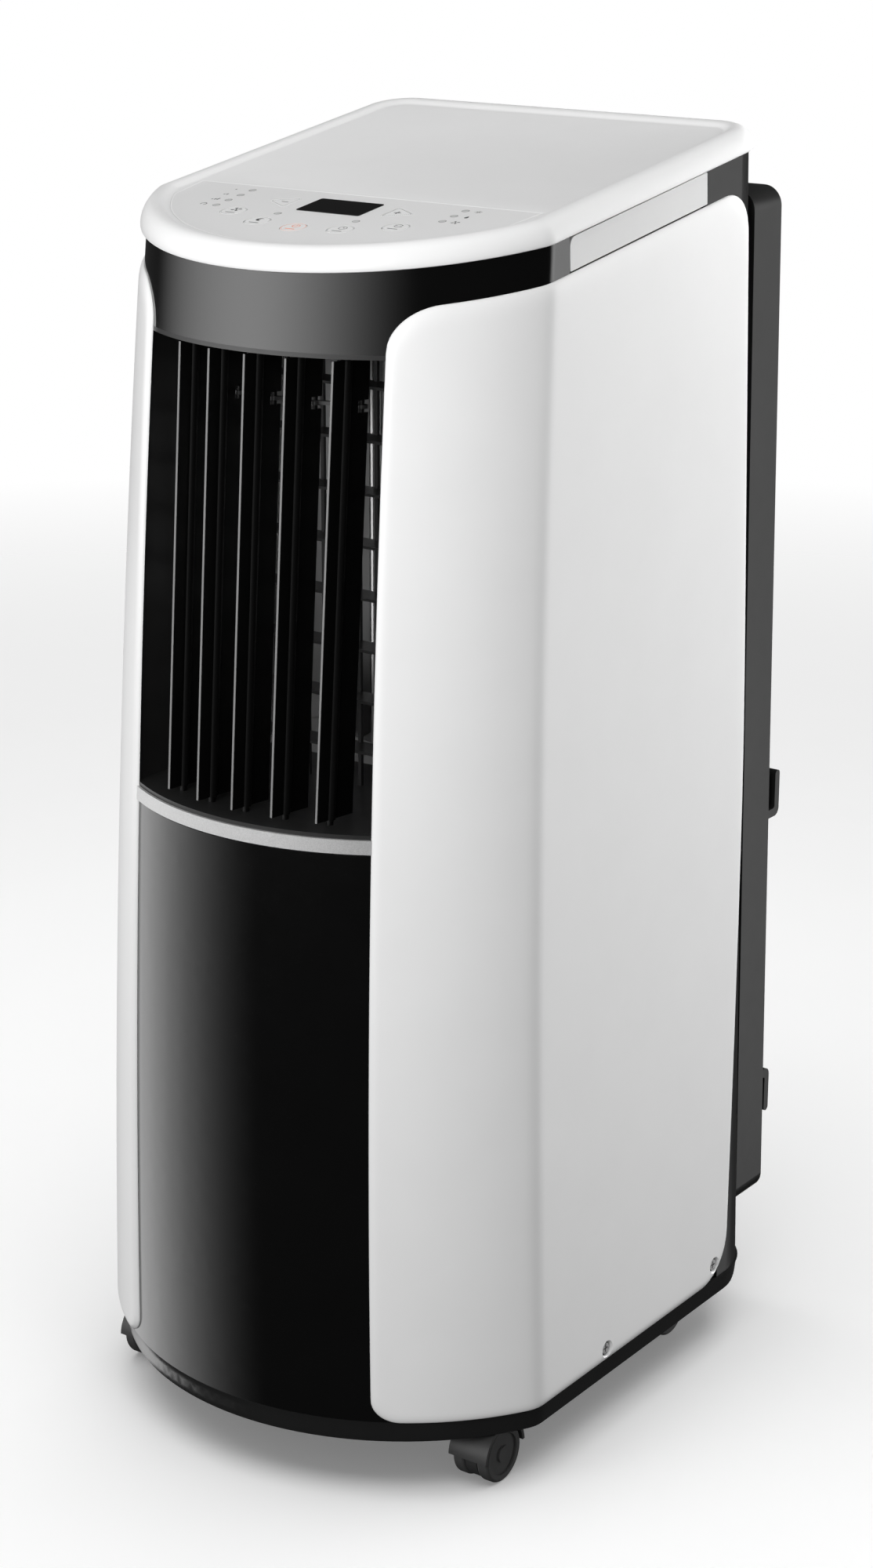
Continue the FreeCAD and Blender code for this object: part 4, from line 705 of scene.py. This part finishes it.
def cut_wells(panel, way):
    made = bmesh.new()
    for y, z in SCREWS:
        points, faces = turned(WELL, WELL_POINTS)
        face = half_width(z)
        corners = [made.verts.new((way * (face + h) / 1000, (y + a) / 1000, (z + b) / 1000))
                   for h, a, b in points]
        for f in faces:
            made.faces.new([corners[i] for i in f])
    bmesh.ops.recalc_face_normals(made, faces=made.faces)
    mesh = bpy.data.meshes.new("well_cutter")
    made.to_mesh(mesh)
    made.free()
    cutter = add_object("well_cutter", mesh)
    cut = panel.modifiers.new("wells", "BOOLEAN")
    cut.object = cutter
    cut.solver = "EXACT"
    shown = panel.evaluated_get(bpy.context.evaluated_depsgraph_get())
    result = bpy.data.meshes.new_from_object(shown)
    panel.modifiers.remove(cut)
    panel.data = result
    result.set_sharp_from_angle(angle=math.radians(40))
    bpy.data.objects.remove(cutter)


for way, panel in panels.items():
    cut_wells(panel, way)
print("right panel after the wells:", len(panels[1].data.polygons), "faces")

# %% [markdown]
# ## The lid
# The lid is a tray turned upside down: a rounded rim stands round a shallow dish, and the dish
# carries the control film. Its outline is the body's plan again, so one profile, given as
# inset and height, is carried round it. Its frame starts at the back edge, with x across, y
# up the slope and z out of the lid.

# %% The lid's own frame and outline
LID_LENGTH = 329.0
LID_TOP = 12.6
LID_HALF = TOP_HALF_WIDTH + 0.6
LID_FLOOR = LID_TOP - 2.4
BOW_STEPS, CORNER_STEPS, SIDE_STEPS, REAR_STEPS, BACK_STEPS = 32, 16, 12, 20, 6
lid_place = Matrix.Translation(LID_BACK) @ Matrix.Rotation(LID_SLOPE, 4, "X")


def on_lid(points):
    return [tuple(lid_place @ Vector(p)) for p in points]


def lid_outline(inset, z):
    """Points of the lid's plan at an inset, always the same number of them."""
    big = bow_radius(LID_HALF)
    centre = -LID_LENGTH + big
    corner_x = LID_HALF - FRONT_CORNER
    corner_y = centre - math.sqrt((big - FRONT_CORNER) ** 2 - corner_x ** 2)
    lean = math.atan2(centre - corner_y, corner_x)
    back = REAR_CORNER_TOP
    half = []
    for k in range(BOW_STEPS + 1):
        turn = -math.pi / 2 + (math.pi / 2 - lean) * k / BOW_STEPS
        half.append(((big - inset) * math.cos(turn), centre + (big - inset) * math.sin(turn)))
    for k in range(1, CORNER_STEPS + 1):
        turn = -lean + lean * k / CORNER_STEPS
        reach = FRONT_CORNER - inset
        half.append((corner_x + reach * math.cos(turn), corner_y + reach * math.sin(turn)))
    for k in range(1, SIDE_STEPS):
        half.append((LID_HALF - inset, corner_y + (-back - corner_y) * k / SIDE_STEPS))
    for k in range(REAR_STEPS + 1):
        turn = math.pi / 2 * k / REAR_STEPS
        reach = back - inset
        half.append((LID_HALF - back + reach * math.cos(turn), -back + reach * math.sin(turn)))
    for k in range(1, BACK_STEPS + 1):
        half.append(((LID_HALF - back) * (1 - k / BACK_STEPS), -inset))
    mirror = [(-x, y) for x, y in reversed(half[1:-1])]
    return [(x, y, z) for x, y in half + mirror]


print("lid outline has", len(lid_outline(0, 0)), "points")

# %% [markdown]
# ## Holes in flat pieces
# The dish floor, the film and every printed mark are flat shapes with holes. Blender's fill
# turns a set of loops into faces, whatever their shape, and the same loops at another height
# close the piece underneath.

# %% Flat shapes with holes
def ring_loop(x, y, radius, count=40):
    return [(x + radius * math.cos(2 * math.pi * k / count),
             y + radius * math.sin(2 * math.pi * k / count)) for k in range(count)]


def filled(loops, z):
    """Triangles between closed loops at height z: points and faces."""
    made = bmesh.new()
    edges = []
    for loop in loops:
        corners = [made.verts.new((x, y, z)) for x, y in loop]
        edges += [made.edges.new((corners[k - 1], corners[k])) for k in range(len(corners))]
    bmesh.ops.triangle_fill(made, edges=edges, use_beauty=True, use_dissolve=False)
    made.verts.index_update()
    points = [tuple(v.co) for v in made.verts]
    faces = [tuple(v.index for v in f.verts) for f in made.faces]
    made.free()
    return points, faces


def slab(loops, low, high):
    """A closed flat solid with the given loops as its walls."""
    points, faces = filled(loops, high)
    count = len(points)
    whole = points + [(x, y, low) for x, y, _ in points]
    solid = faces + [tuple(count + i for i in reversed(f)) for f in faces]
    start = 0
    for loop in loops:
        n = len(loop)
        solid += [(start + (k - 1) % n, start + k, count + start + k,
                   count + start + (k - 1) % n) for k in range(n)]
        start += n
    return whole, solid


def merged(parts):
    points, faces = [], []
    for some, links in parts:
        shift = len(points)
        points += some
        faces += [tuple(shift + i for i in f) for f in links]
    return points, faces


print("flat-shape helpers ready")

# %% [markdown]
# ## Sweep the lid and close it
# The profile climbs the outer wall, rounds over the rim and slides down into the dish. From
# there everything is flat: the dish floor, the pocket for the film, and the wells for keys,
# lamps and display, which go right through so that nothing moving touches the lid.

# %% Lid mesh
LID_PROFILE = ((0.6, 0.0), (0.15, 0.4), (0.0, 1.1), (0.1, 2.4), (0.5, 4.2), (1.3, 6.2),
               (2.5, 8.3), (4.1, 10.2), (6.0, 11.6), (8.2, 12.4), (10.4, 12.6), (12.4, 12.4),
               (14.0, 11.8), (15.4, 11.0), (16.6, 10.45), (17.6, LID_FLOOR))
FILM_BACK = -212.0
FILM_END = FILM_BACK - 30.0
FILM_INSET = 18.0
FILM_SHOULDER = 4.0
FILM_STEPS = 72
POCKET_FLOOR = LID_FLOOR - 0.52
LID_UNDERSIDE = 7.2
KEY_PLACES = {"key_fan": (-56.0, -262.0), "key_sleep": (-28.5, -275.5),
              "key_power": (0.0, -280.0), "key_timer": (28.5, -275.5),
              "key_mode": (56.0, -262.0), "key_minus": (-39.0, -237.0),
              "key_plus": (39.0, -237.0)}
KEY_WELL = 7.85
POINTED = {"key_minus": -1, "key_plus": 1}
POINTED_REACH = 11.6
POINTED_CORNER = 1.8
KEY_SLOT = 0.35
LAMP_PLACES = ((-74.0, -222.0), (-74.0, -233.0), (-74.0, -244.0), (-74.0, -255.0),
               (-27.0, -259.0), (27.0, -259.0),
               (74.0, -222.0), (74.0, -233.0), (74.0, -244.0))
LAMP_WELL = 1.95
DISPLAY = (-21.85, -250.05, 21.85, -224.95)


def film_loop(gap):
    big = bow_radius(LID_HALF)
    reach = big - FILM_INSET - gap
    centre = -LID_LENGTH + big
    end_x = math.sqrt(reach ** 2 - (FILM_END - centre) ** 2)
    first = math.atan2(FILM_END - centre, -end_x)
    last = math.atan2(FILM_END - centre, end_x)
    turns = [first + (last - first) * k / FILM_STEPS for k in range(FILM_STEPS + 1)]
    arc = [(reach * math.cos(t), centre + reach * math.sin(t)) for t in turns]
    wide = end_x + FILM_SHOULDER - gap
    return arc + [(wide, FILM_BACK - gap), (-wide, FILM_BACK - gap)]


def rectangle(x0, y0, x1, y1):
    return [(x0, y0), (x1, y0), (x1, y1), (x0, y1)]


def pointed_loop(x, y, way, grow):
    """A triangle that points left or right, with its corners rounded."""
    bend = POINTED_CORNER + grow
    far = POINTED_REACH + 2 * grow - 2 * bend
    loop = []
    for turn in (0, 120, 240):
        middle = math.radians(turn)
        for step in range(-60, 61, 15):
            t = math.radians(turn + step)
            loop.append((x + way * (far * math.cos(middle) + bend * math.cos(t)),
                         y + far * math.sin(middle) + bend * math.sin(t)))
    return loop


def key_well(key):
    x, y = KEY_PLACES[key]
    if key in POINTED:
        return pointed_loop(x, y, POINTED[key], KEY_SLOT)
    return ring_loop(x, y, KEY_WELL)


def lid_parts():
    rings = [lid_outline(inset, height) for inset, height in LID_PROFILE]
    rings = [lid_outline(4.0, 0.0)] + rings
    rings = [lid_outline(5.0, LID_UNDERSIDE)] + rings
    points = [p for ring in rings for p in ring]
    faces = ring_faces(len(rings), len(rings[0]))
    wells = [key_well(key) for key in KEY_PLACES]
    wells += [ring_loop(x, y, LAMP_WELL, 20) for x, y in LAMP_PLACES]
    wells.append(rectangle(*DISPLAY))
    dish = [(x, y) for x, y, _ in rings[-1]]
    under = [(x, y) for x, y, _ in rings[0]]
    walls = []
    for loop, high, low in ([(film_loop(0.0), LID_FLOOR, POCKET_FLOOR)]
                            + [(w, POCKET_FLOOR, LID_UNDERSIDE) for w in wells]):
        m = len(loop)
        walls.append(([(x, y, high) for x, y in loop] + [(x, y, low) for x, y in loop],
                      [(k, (k + 1) % m, m + (k + 1) % m, m + k) for k in range(m)]))
    return merged([(points, faces), filled([dish, film_loop(0.0)], LID_FLOOR),
                   filled([film_loop(0.0)] + wells, POCKET_FLOOR),
                   filled([under] + wells, LID_UNDERSIDE)] + walls)


def weld(piece, gap=0.004):
    made = bmesh.new()
    made.from_mesh(piece.data)
    bmesh.ops.remove_doubles(made, verts=made.verts, dist=gap / 1000)
    bmesh.ops.recalc_face_normals(made, faces=made.faces)
    made.to_mesh(piece.data)
    made.free()
    piece.data.set_sharp_from_angle(angle=math.radians(32))


lid_points, lid_faces = lid_parts()
lid_skin = make_piece("lid_skin", on_lid(lid_points), lid_faces, satin_white,
                      frame["nodes"]["lid"]["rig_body"], ("lid",))
weld(lid_skin)
print("lid:", len(lid_skin.data.polygons), "faces")

# %% [markdown]
# ## Drawing with strips
# Signs on a control panel are made of very few shapes: bars, bands along an arc, rings, and
# the odd leaf or drop. Each becomes a film of ink a few hundredths of a millimetre thick, so
# the signs are real geometry and stay sharp however near the camera comes. Plain signs say
# what each key does, and there is no lettering.

# %% Strokes of ink
INK_LOW = LID_FLOOR - 0.01
INK_HIGH = LID_FLOOR + 0.05


def bar(x0, y0, x1, y1, width):
    dx, dy = x1 - x0, y1 - y0
    long = math.hypot(dx, dy)
    nx, ny = -dy / long * width / 2, dx / long * width / 2
    return [[(x0 + nx, y0 + ny), (x1 + nx, y1 + ny), (x1 - nx, y1 - ny), (x0 - nx, y0 - ny)]]


def band(x, y, radius, width, start, end, count=24):
    """A strip along an arc; angles in degrees."""
    turns = [math.radians(start + (end - start) * k / count) for k in range(count + 1)]
    outer = [(x + (radius + width / 2) * math.cos(t), y + (radius + width / 2) * math.sin(t))
             for t in turns]
    inner = [(x + (radius - width / 2) * math.cos(t), y + (radius - width / 2) * math.sin(t))
             for t in reversed(turns)]
    return [outer + inner]


def hoop(x, y, radius, width):
    return [ring_loop(x, y, radius + width / 2, 48), ring_loop(x, y, radius - width / 2, 48)]


def dotted_hoop(x, y, radius, width, dots):
    step = 360.0 / dots
    return [band(x, y, radius, width, k * step, k * step + step * 0.55, 3) for k in range(dots)]


def dotted_loop(loop, width, dots):
    """Short dashes at equal steps along any closed loop."""
    legs = [math.dist(loop[k - 1], loop[k]) for k in range(len(loop))]
    whole = sum(legs)

    def at(run):
        run %= whole
        for k, leg in enumerate(legs):
            if run <= leg:
                (x0, y0), (x1, y1) = loop[k - 1], loop[k]
                return x0 + (x1 - x0) * run / leg, y0 + (y1 - y0) * run / leg
            run -= leg
        return loop[-1]

    strokes = []
    for k in range(dots):
        strokes.append(bar(*at(whole * k / dots), *at(whole * (k + 0.55) / dots), width))
    return strokes


def printed(name, strokes, finish, body):
    points, faces = merged([slab(loops, INK_LOW, INK_HIGH) for loops in strokes])
    return make_piece(name, on_lid(points), faces, finish, body)


print("ink strokes ready")

# %% [markdown]
# ## The signs
# A fan, a crescent for sleep, the ring-and-bar for power, a clock for the timer and two
# chasing arrows for the mode, each with a short bar under it. The two pointed keys beside
# the display carry a minus and a plus inside a dotted edge.

# %% Signs on the keys
def leaf(x, y, turn, long, wide):
    """One fan blade: a bent leaf from the hub outwards."""
    loop = []
    for k in range(9):
        t = k / 8
        loop.append((0.6 + long * t, wide * math.sin(math.pi * t) * (1.0 + 0.6 * t)))
    for k in range(1, 8):
        t = 1 - k / 8
        loop.append((0.6 + long * t, -0.15 * wide * math.sin(math.pi * t)))
    c, s = math.cos(math.radians(turn)), math.sin(math.radians(turn))
    return [[(x + a * c - b * s, y + a * s + b * c) for a, b in loop]]


def fan_sign(x, y, size):
    return ([leaf(x, y, turn, 2.4 * size, 0.9 * size) for turn in (20, 110, 200, 290)]
            + [[ring_loop(x, y, 0.45 * size, 16)]])


def crescent(x, y, size):
    outer = [math.radians(50 + 260 * k / 30) for k in range(31)]
    loop = [(x + size * math.cos(t), y + size * math.sin(t)) for t in outer]
    tip = math.hypot(size * math.cos(outer[0]) - 0.55 * size, size * math.sin(outer[0]))
    first = math.atan2(size * math.sin(outer[-1]), size * math.cos(outer[-1]) - 0.55 * size)
    last = math.atan2(size * math.sin(outer[0]), size * math.cos(outer[0]) - 0.55 * size)
    first -= 0 if first < 0 else 2 * math.pi
    inner = [first + 2 * math.pi + (last - first - 2 * math.pi) * k / 24 for k in range(1, 24)]
    loop += [(x + 0.55 * size + tip * math.cos(t), y + tip * math.sin(t)) for t in inner]
    return [[loop]]


def power_sign(x, y, size):
    return [band(x, y, size, 0.45, 120, 420, 40), bar(x, y + 0.2 * size, x, y + 1.25 * size, 0.45)]


def clock_sign(x, y, size):
    return [hoop(x, y, size, 0.35), bar(x, y, x, y + 0.7 * size, 0.3),
            bar(x, y, x + 0.5 * size, y, 0.3)]


def arrows_sign(x, y, size):
    strokes = []
    for turn in (0, 180):
        strokes.append(band(x, y, size, 0.5, turn + 20, turn + 150, 20))
        end = math.radians(turn + 150)
        ex, ey = x + size * math.cos(end), y + size * math.sin(end)
        way = end + math.pi / 2
        strokes.append([[(ex + 1.2 * math.cos(way), ey + 1.2 * math.sin(way)),
                         (ex + 0.8 * math.cos(end), ey + 0.8 * math.sin(end)),
                         (ex - 0.8 * math.cos(end), ey - 0.8 * math.sin(end))]])
    return strokes


def plus_sign(x, y, size):
    return [[[(x + a * size, y + b * size) for a, b in
              ((-1, -.16), (-.16, -.16), (-.16, -1), (.16, -1), (.16, -.16), (1, -.16),
               (1, .16), (.16, .16), (.16, 1), (-.16, 1), (-.16, .16), (-1, .16))]]]


SIGN_LIFT = 2.5
LABEL_DROP = 3.4
LABEL_HALF, LABEL_THICK = 3.2, 0.7
RING_RADIUS, RING_THICK, RING_DOTS = 7.0, 0.24, 52
EDGE_INSET, EDGE_THICK, EDGE_DASHES = 0.8, 0.28, 44
POINTED_SIGN, MINUS_THICK = 2.3, 0.75
SIGNS = {"key_fan": (fan_sign, 1.2, grey_ink), "key_sleep": (crescent, 2.4, grey_ink),
         "key_power": (power_sign, 2.2, orange_ink), "key_timer": (clock_sign, 2.4, grey_ink),
         "key_mode": (arrows_sign, 2.3, grey_ink)}
for key, (draw, size, ink) in SIGNS.items():
    x, y = KEY_PLACES[key]
    label = bar(x - LABEL_HALF, y - LABEL_DROP, x + LABEL_HALF, y - LABEL_DROP, LABEL_THICK)
    printed(key + "_sign", draw(x, y + SIGN_LIFT, size) + [label], ink, key)
    ring_ink = orange_ink if key == "key_power" else pale_ink
    printed(key + "_ring", dotted_hoop(x, y, RING_RADIUS, RING_THICK, RING_DOTS), ring_ink, key)
for key, way in POINTED.items():
    x, y = KEY_PLACES[key]
    minus = [bar(x - POINTED_SIGN, y, x + POINTED_SIGN, y, MINUS_THICK)]
    sign = plus_sign(x, y, POINTED_SIGN) if way > 0 else minus
    edge = dotted_loop(pointed_loop(x, y, way, -EDGE_INSET), EDGE_THICK, EDGE_DASHES)
    printed(key + "_sign", sign + edge, grey_ink, key)
print("signs on", len(SIGNS) + len(POINTED), "keys")

# %% [markdown]
# ## Lamp marks
# Each lamp has a thin ring, and a small sign beside it: one, two or three bars for the fan's
# speed, a loop for automatic, and a snow crystal, a drop and a fan for the three modes. The two
# lamps between the keys have no sign. A pale line runs round the edge of the film.

# %% Marks on the film
def drop_sign(x, y, size):
    loop = []
    for k in range(28):
        t = 2 * math.pi * k / 28
        loop.append((x + 0.75 * size * math.sin(t) * math.sin(t / 2) ** 1.4,
                     y + size * math.cos(t) * 0.95))
    return [[loop]]


def crystal_sign(x, y, size):
    strokes = []
    for turn in (0, 60, 120):
        c, s = math.cos(math.radians(turn + 90)), math.sin(math.radians(turn + 90))
        strokes.append(bar(x - size * c, y - size * s, x + size * c, y + size * s, 0.26))
    return strokes


def speed_sign(x, y, bars):
    return [bar(x + 1.8 * k, y - 1.6, x + 1.8 * k, y - 1.6 + 1.1 * (k + 1), 0.9)
            for k in range(bars)]


body_name = frame["nodes"]["control_film"]["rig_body"]
strokes = [hoop(x, y, LAMP_WELL + 0.15, 0.3) for x, y in LAMP_PLACES]
printed("lamp_rings", strokes, grey_ink, body_name)
LEFT_X, RIGHT_X = -85.0, 82.5
strokes = []
for bars, (_, y) in zip((1, 2, 3), LAMP_PLACES[:3]):
    strokes += speed_sign(LEFT_X, y, bars)
strokes += [band(LEFT_X + 1.8, LAMP_PLACES[3][1], 1.8, 0.55, -60, 220, 20)]
strokes += crystal_sign(RIGHT_X, LAMP_PLACES[6][1], 2.2)
strokes += drop_sign(RIGHT_X, LAMP_PLACES[7][1], 2.1)
strokes += fan_sign(RIGHT_X, LAMP_PLACES[8][1], 0.9)
printed("lamp_marks", strokes, grey_ink, body_name)
printed("film_edge", [[film_loop(0.25), film_loop(0.85)]], white_ink, body_name)
print("marked", len(LAMP_PLACES), "lamps")

# %% [markdown]
# ## Floor
# The machine stands on a pale sheet with no visible horizon. The sheet fades out into the
# white surroundings and glows faintly, which softens its shadow. It stays out of the black
# panels' reflections, which would otherwise turn grey, and throws no light back on the machine.

# %% Pale floor
FLOOR_RADIUS, FLOOR_FADES_FROM = 2.6, 1.0
FLOOR_GLOW = 0.16


def studio_floor(radius, fade_from):
    count, rings = 96, 12
    points = [(0.0, 0.0, 0.0)]
    points += [(radius * (i / rings) * math.cos(2 * math.pi * k / count),
                radius * (i / rings) * math.sin(2 * math.pi * k / count), 0.0)
               for i in range(1, rings + 1) for k in range(count)]
    faces = [(0, 1 + k, 1 + (k + 1) % count) for k in range(count)]
    faces += [(1 + i * count + k, 1 + (i + 1) * count + k, 1 + (i + 1) * count + (k + 1) % count,
               1 + i * count + (k + 1) % count) for i in range(rings - 1) for k in range(count)]
    mesh = bpy.data.meshes.new("floor_sheet")
    mesh.from_pydata(points, [], faces)
    finish = Finish("floor_paper", Specular_IOR_Level=0.0, Emission_Strength=FLOOR_GLOW)
    finish.shader.inputs["Emission Color"].default_value = grey(1.0)
    far = finish.node("ShaderNodeVectorMath", {"operation": "LENGTH"}, {0: finish.place}, 1)
    span = radius - fade_from
    fade = finish.node("ShaderNodeMath", {"operation": "MULTIPLY", "use_clamp": True},
                       {0: radius - far, 1: 1 / span})
    finish.feed(Alpha=fade, Roughness=0.8 + 0.1 * finish.noise(40.0),
                Base_Color=finish.between(finish.noise(90.0, 3.0), grey(0.90), grey(0.92)))
    mesh.materials.append(finish.material)
    sheet_object = add_object("floor_sheet", mesh)
    sheet_object.visible_glossy = False
    sheet_object.visible_diffuse = False
    return sheet_object


floor = studio_floor(FLOOR_RADIUS, FLOOR_FADES_FROM)
print("floor ready")

# %% [markdown]
# ## Light
# A broad box in front lights the bow. One behind on the right only grazes the long side, which
# makes the side bright beside a darker corner. One on the left lifts the other panel. They
# hang level with the lid and close by, so the machine darkens towards its foot. A weak box
# overhead evens out the lid, and a small lamp in the outlet picks out the lattice behind the
# vanes. A wide sky box lights the floor alone and gives it one soft shadow. Each line gives an
# angle, a height and a distance, then the width, height and power.

# %% Soft boxes
def soft_box(name, azimuth, height, distance, wide, tall, power, aim=(0.0, 0.0, 0.70),
             spread=180):
    light = bpy.data.lights.new(name, "AREA")
    light.shape = "RECTANGLE"
    light.size = wide
    light.size_y = tall
    light.energy = power
    light.spread = math.radians(spread)
    lamp = add_object(name, light)
    turn = math.radians(azimuth)
    lamp.location = (distance * math.sin(turn), -distance * math.cos(turn), height)
    lamp.rotation_euler = (Vector(aim) - lamp.location).to_track_quat("-Z", "Y").to_euler()
    lamp.visible_glossy = False
    return lamp


def reach(lamp, state):
    """Keeps the floor out of a lamp's light, or gives the lamp nothing but the floor."""
    group = bpy.data.collections.new(lamp.name + "_reach")
    group.objects.link(floor)
    lamp.light_linking.receiver_collection = group
    for link in group.collection_objects:
        link.light_linking.link_state = state


boxes = [soft_box("front_box", 10, 0.92, 1.25, 1.0, 0.6, 13),
         soft_box("left_box", -80, 0.95, 1.25, 0.6, 0.6, 4.6),
         soft_box("back_box", 158, 0.88, 1.25, 0.5, 0.7, 27),
         soft_box("top_box", 20, 2.2, 0.3, 1.6, 1.6, 10),
         soft_box("outlet_lamp", 9, 0.54, 0.079, 0.02, 0.15, 0.05, (0.002, -0.03, 0.54), 80)]
for lamp in boxes:
    reach(lamp, "EXCLUDE")
reach(soft_box("sky_box", 20, 2.0, 0.2, 2.4, 2.4, 42, (0.0, 0.0, 0.0)), "INCLUDE")
print(len(boxes) + 1, "lamps")

# %% [markdown]
# ## What the black panels mirror
# Polished black shows nothing but what stands round it. Three bright cards are all that it
# mirrors: one in front, seen in the band under the lid, one on the left, seen down the side
# of the lower panel, and a narrow one behind for the rear casing. Their edges fade, so the
# streaks have no hard border. They show in reflections only.

# %% Mirror cards and surroundings
def mirror_card(name, azimuth, spread, foot, head, soft, strength, radius=3.0):
    """A bent card: brightest at azimuth, fading to nothing at spread either side."""
    count, rows = 48, 24
    points = []
    for i in range(rows + 1):
        z = foot + (head - foot) * i / rows
        for k in range(count + 1):
            turn = math.radians(azimuth - spread + 2 * spread * k / count)
            points.append((radius * math.sin(turn), -radius * math.cos(turn), z))
    faces = [(i * (count + 1) + k, i * (count + 1) + k + 1, (i + 1) * (count + 1) + k + 1,
              (i + 1) * (count + 1) + k) for i in range(rows) for k in range(count)]
    mesh = bpy.data.meshes.new(name)
    mesh.from_pydata(points, [], faces)
    finish = Finish(name, Specular_IOR_Level=0.0, Roughness=1.0, Emission_Strength=strength)
    finish.shader.inputs["Base Color"].default_value = grey(0.0)
    turn = math.radians(azimuth)
    middle = (radius * math.sin(turn), -radius * math.cos(turn), 0.0)
    side = finish.node("ShaderNodeVectorMath", {"operation": "MULTIPLY"},
                       {0: finish.place, 1: (1.0, 1.0, 0.0)})
    off = finish.node("ShaderNodeVectorMath", {"operation": "DISTANCE"}, {0: side, 1: middle}, 1)
    edge = 2 * radius * math.sin(math.radians(spread) / 2)
    glow = finish.node("ShaderNodeMapRange", {"interpolation_type": "SMOOTHSTEP"},
                       {"Value": off, "From Min": 0.0, "From Max": edge,
                        "To Min": 1.0, "To Max": 0.0})
    lift = finish.node("ShaderNodeMapRange", {"interpolation_type": "SMOOTHSTEP"},
                       {"Value": finish.axis("Z"), "From Min": 1000 * foot,
                        "From Max": 1000 * (foot + soft), "To Min": 0.0, "To Max": 1.0})
    finish.feed(Alpha=glow * lift)
    finish.shader.inputs["Emission Color"].default_value = grey(1.0)
    mesh.materials.append(finish.material)
    card = add_object(name, mesh)
    for kind in ("camera", "diffuse", "transmission", "volume_scatter", "shadow"):
        setattr(card, "visible_" + kind, False)
    return card


mirror_card("front_card", -28, 72, -0.02, 1.6, 0.25, 3.4, radius=3.0)
mirror_card("left_card", -83, 64, -2.6, -0.2, 0.4, 1.4, radius=3.4)
mirror_card("rear_card", 138, 18, -1.8, 1.8, 0.4, 2.2, radius=3.8)


AMBIENT = 0.30
MIRRORED = 0.03


def surroundings():
    world = bpy.data.worlds.new("studio")
    bpy.context.scene.world = world
    world.use_nodes = True
    sky = world.node_tree
    white = sky.nodes["Background"]
    white.inputs["Color"].default_value = grey(1.0)
    rays = sky.nodes.new("ShaderNodeLightPath").outputs

    def choose(ray, otherwise, chosen):
        choice = sky.nodes.new("ShaderNodeMixShader")
        sky.links.new(rays[ray], choice.inputs[0])
        sky.links.new(otherwise, choice.inputs[1])
        sky.links.new(chosen, choice.inputs[2])
        return choice.outputs[0]

    def glow(strength):
        made = sky.nodes.new("ShaderNodeBackground")
        made.inputs["Color"].default_value = grey(1.0)
        made.inputs["Strength"].default_value = strength
        return made.outputs[0]

    shown = choose("Is Glossy Ray", glow(AMBIENT), glow(MIRRORED))
    shown = choose("Is Camera Ray", shown, white.outputs[0])
    sky.links.new(shown, sky.nodes["World Output"].inputs["Surface"])


surroundings()
bpy.context.scene.view_settings.view_transform = "Standard"
print("surroundings ready")

# %% [markdown]
# ## Camera
# The camera stands to the right and a little above, fairly close, so that the sides converge.
# Its place is given as an angle round the object, an angle above the floor and a distance
# from a point inside it.

# %% Camera
VIEW_AZIMUTH = 0.6168
VIEW_RISE = 0.3073
VIEW_DISTANCE = 1.9097
VIEW_ROLL = -0.0024
VIEW_TARGET = Vector((0.0, 0.0182, 0.385))
FOCAL_LENGTH, SENSOR_WIDTH = 71.82, 36.0
SHIFT_X, SHIFT_Y = -0.00315, -0.01365
lens = bpy.data.cameras.new("camera")
lens.sensor_width = SENSOR_WIDTH
lens.lens = FOCAL_LENGTH
lens.shift_x = SHIFT_X
lens.shift_y = SHIFT_Y
camera = add_object("camera", lens)
away = Vector((math.sin(VIEW_AZIMUTH) * math.cos(VIEW_RISE),
               -math.cos(VIEW_AZIMUTH) * math.cos(VIEW_RISE), math.sin(VIEW_RISE)))
camera.location = VIEW_TARGET + VIEW_DISTANCE * away
level = (-away).to_track_quat("-Z", "Y").to_matrix().to_4x4()
camera.matrix_world = (Matrix.Translation(camera.location) @ level
                       @ Matrix.Rotation(-VIEW_ROLL, 4, "Z"))
bpy.context.scene.camera = camera
print("camera", [round(c, 3) for c in camera.location])

# %% [markdown]
# Last, the scene is brought up to date.

# %% Finish
bpy.context.view_layer.update()
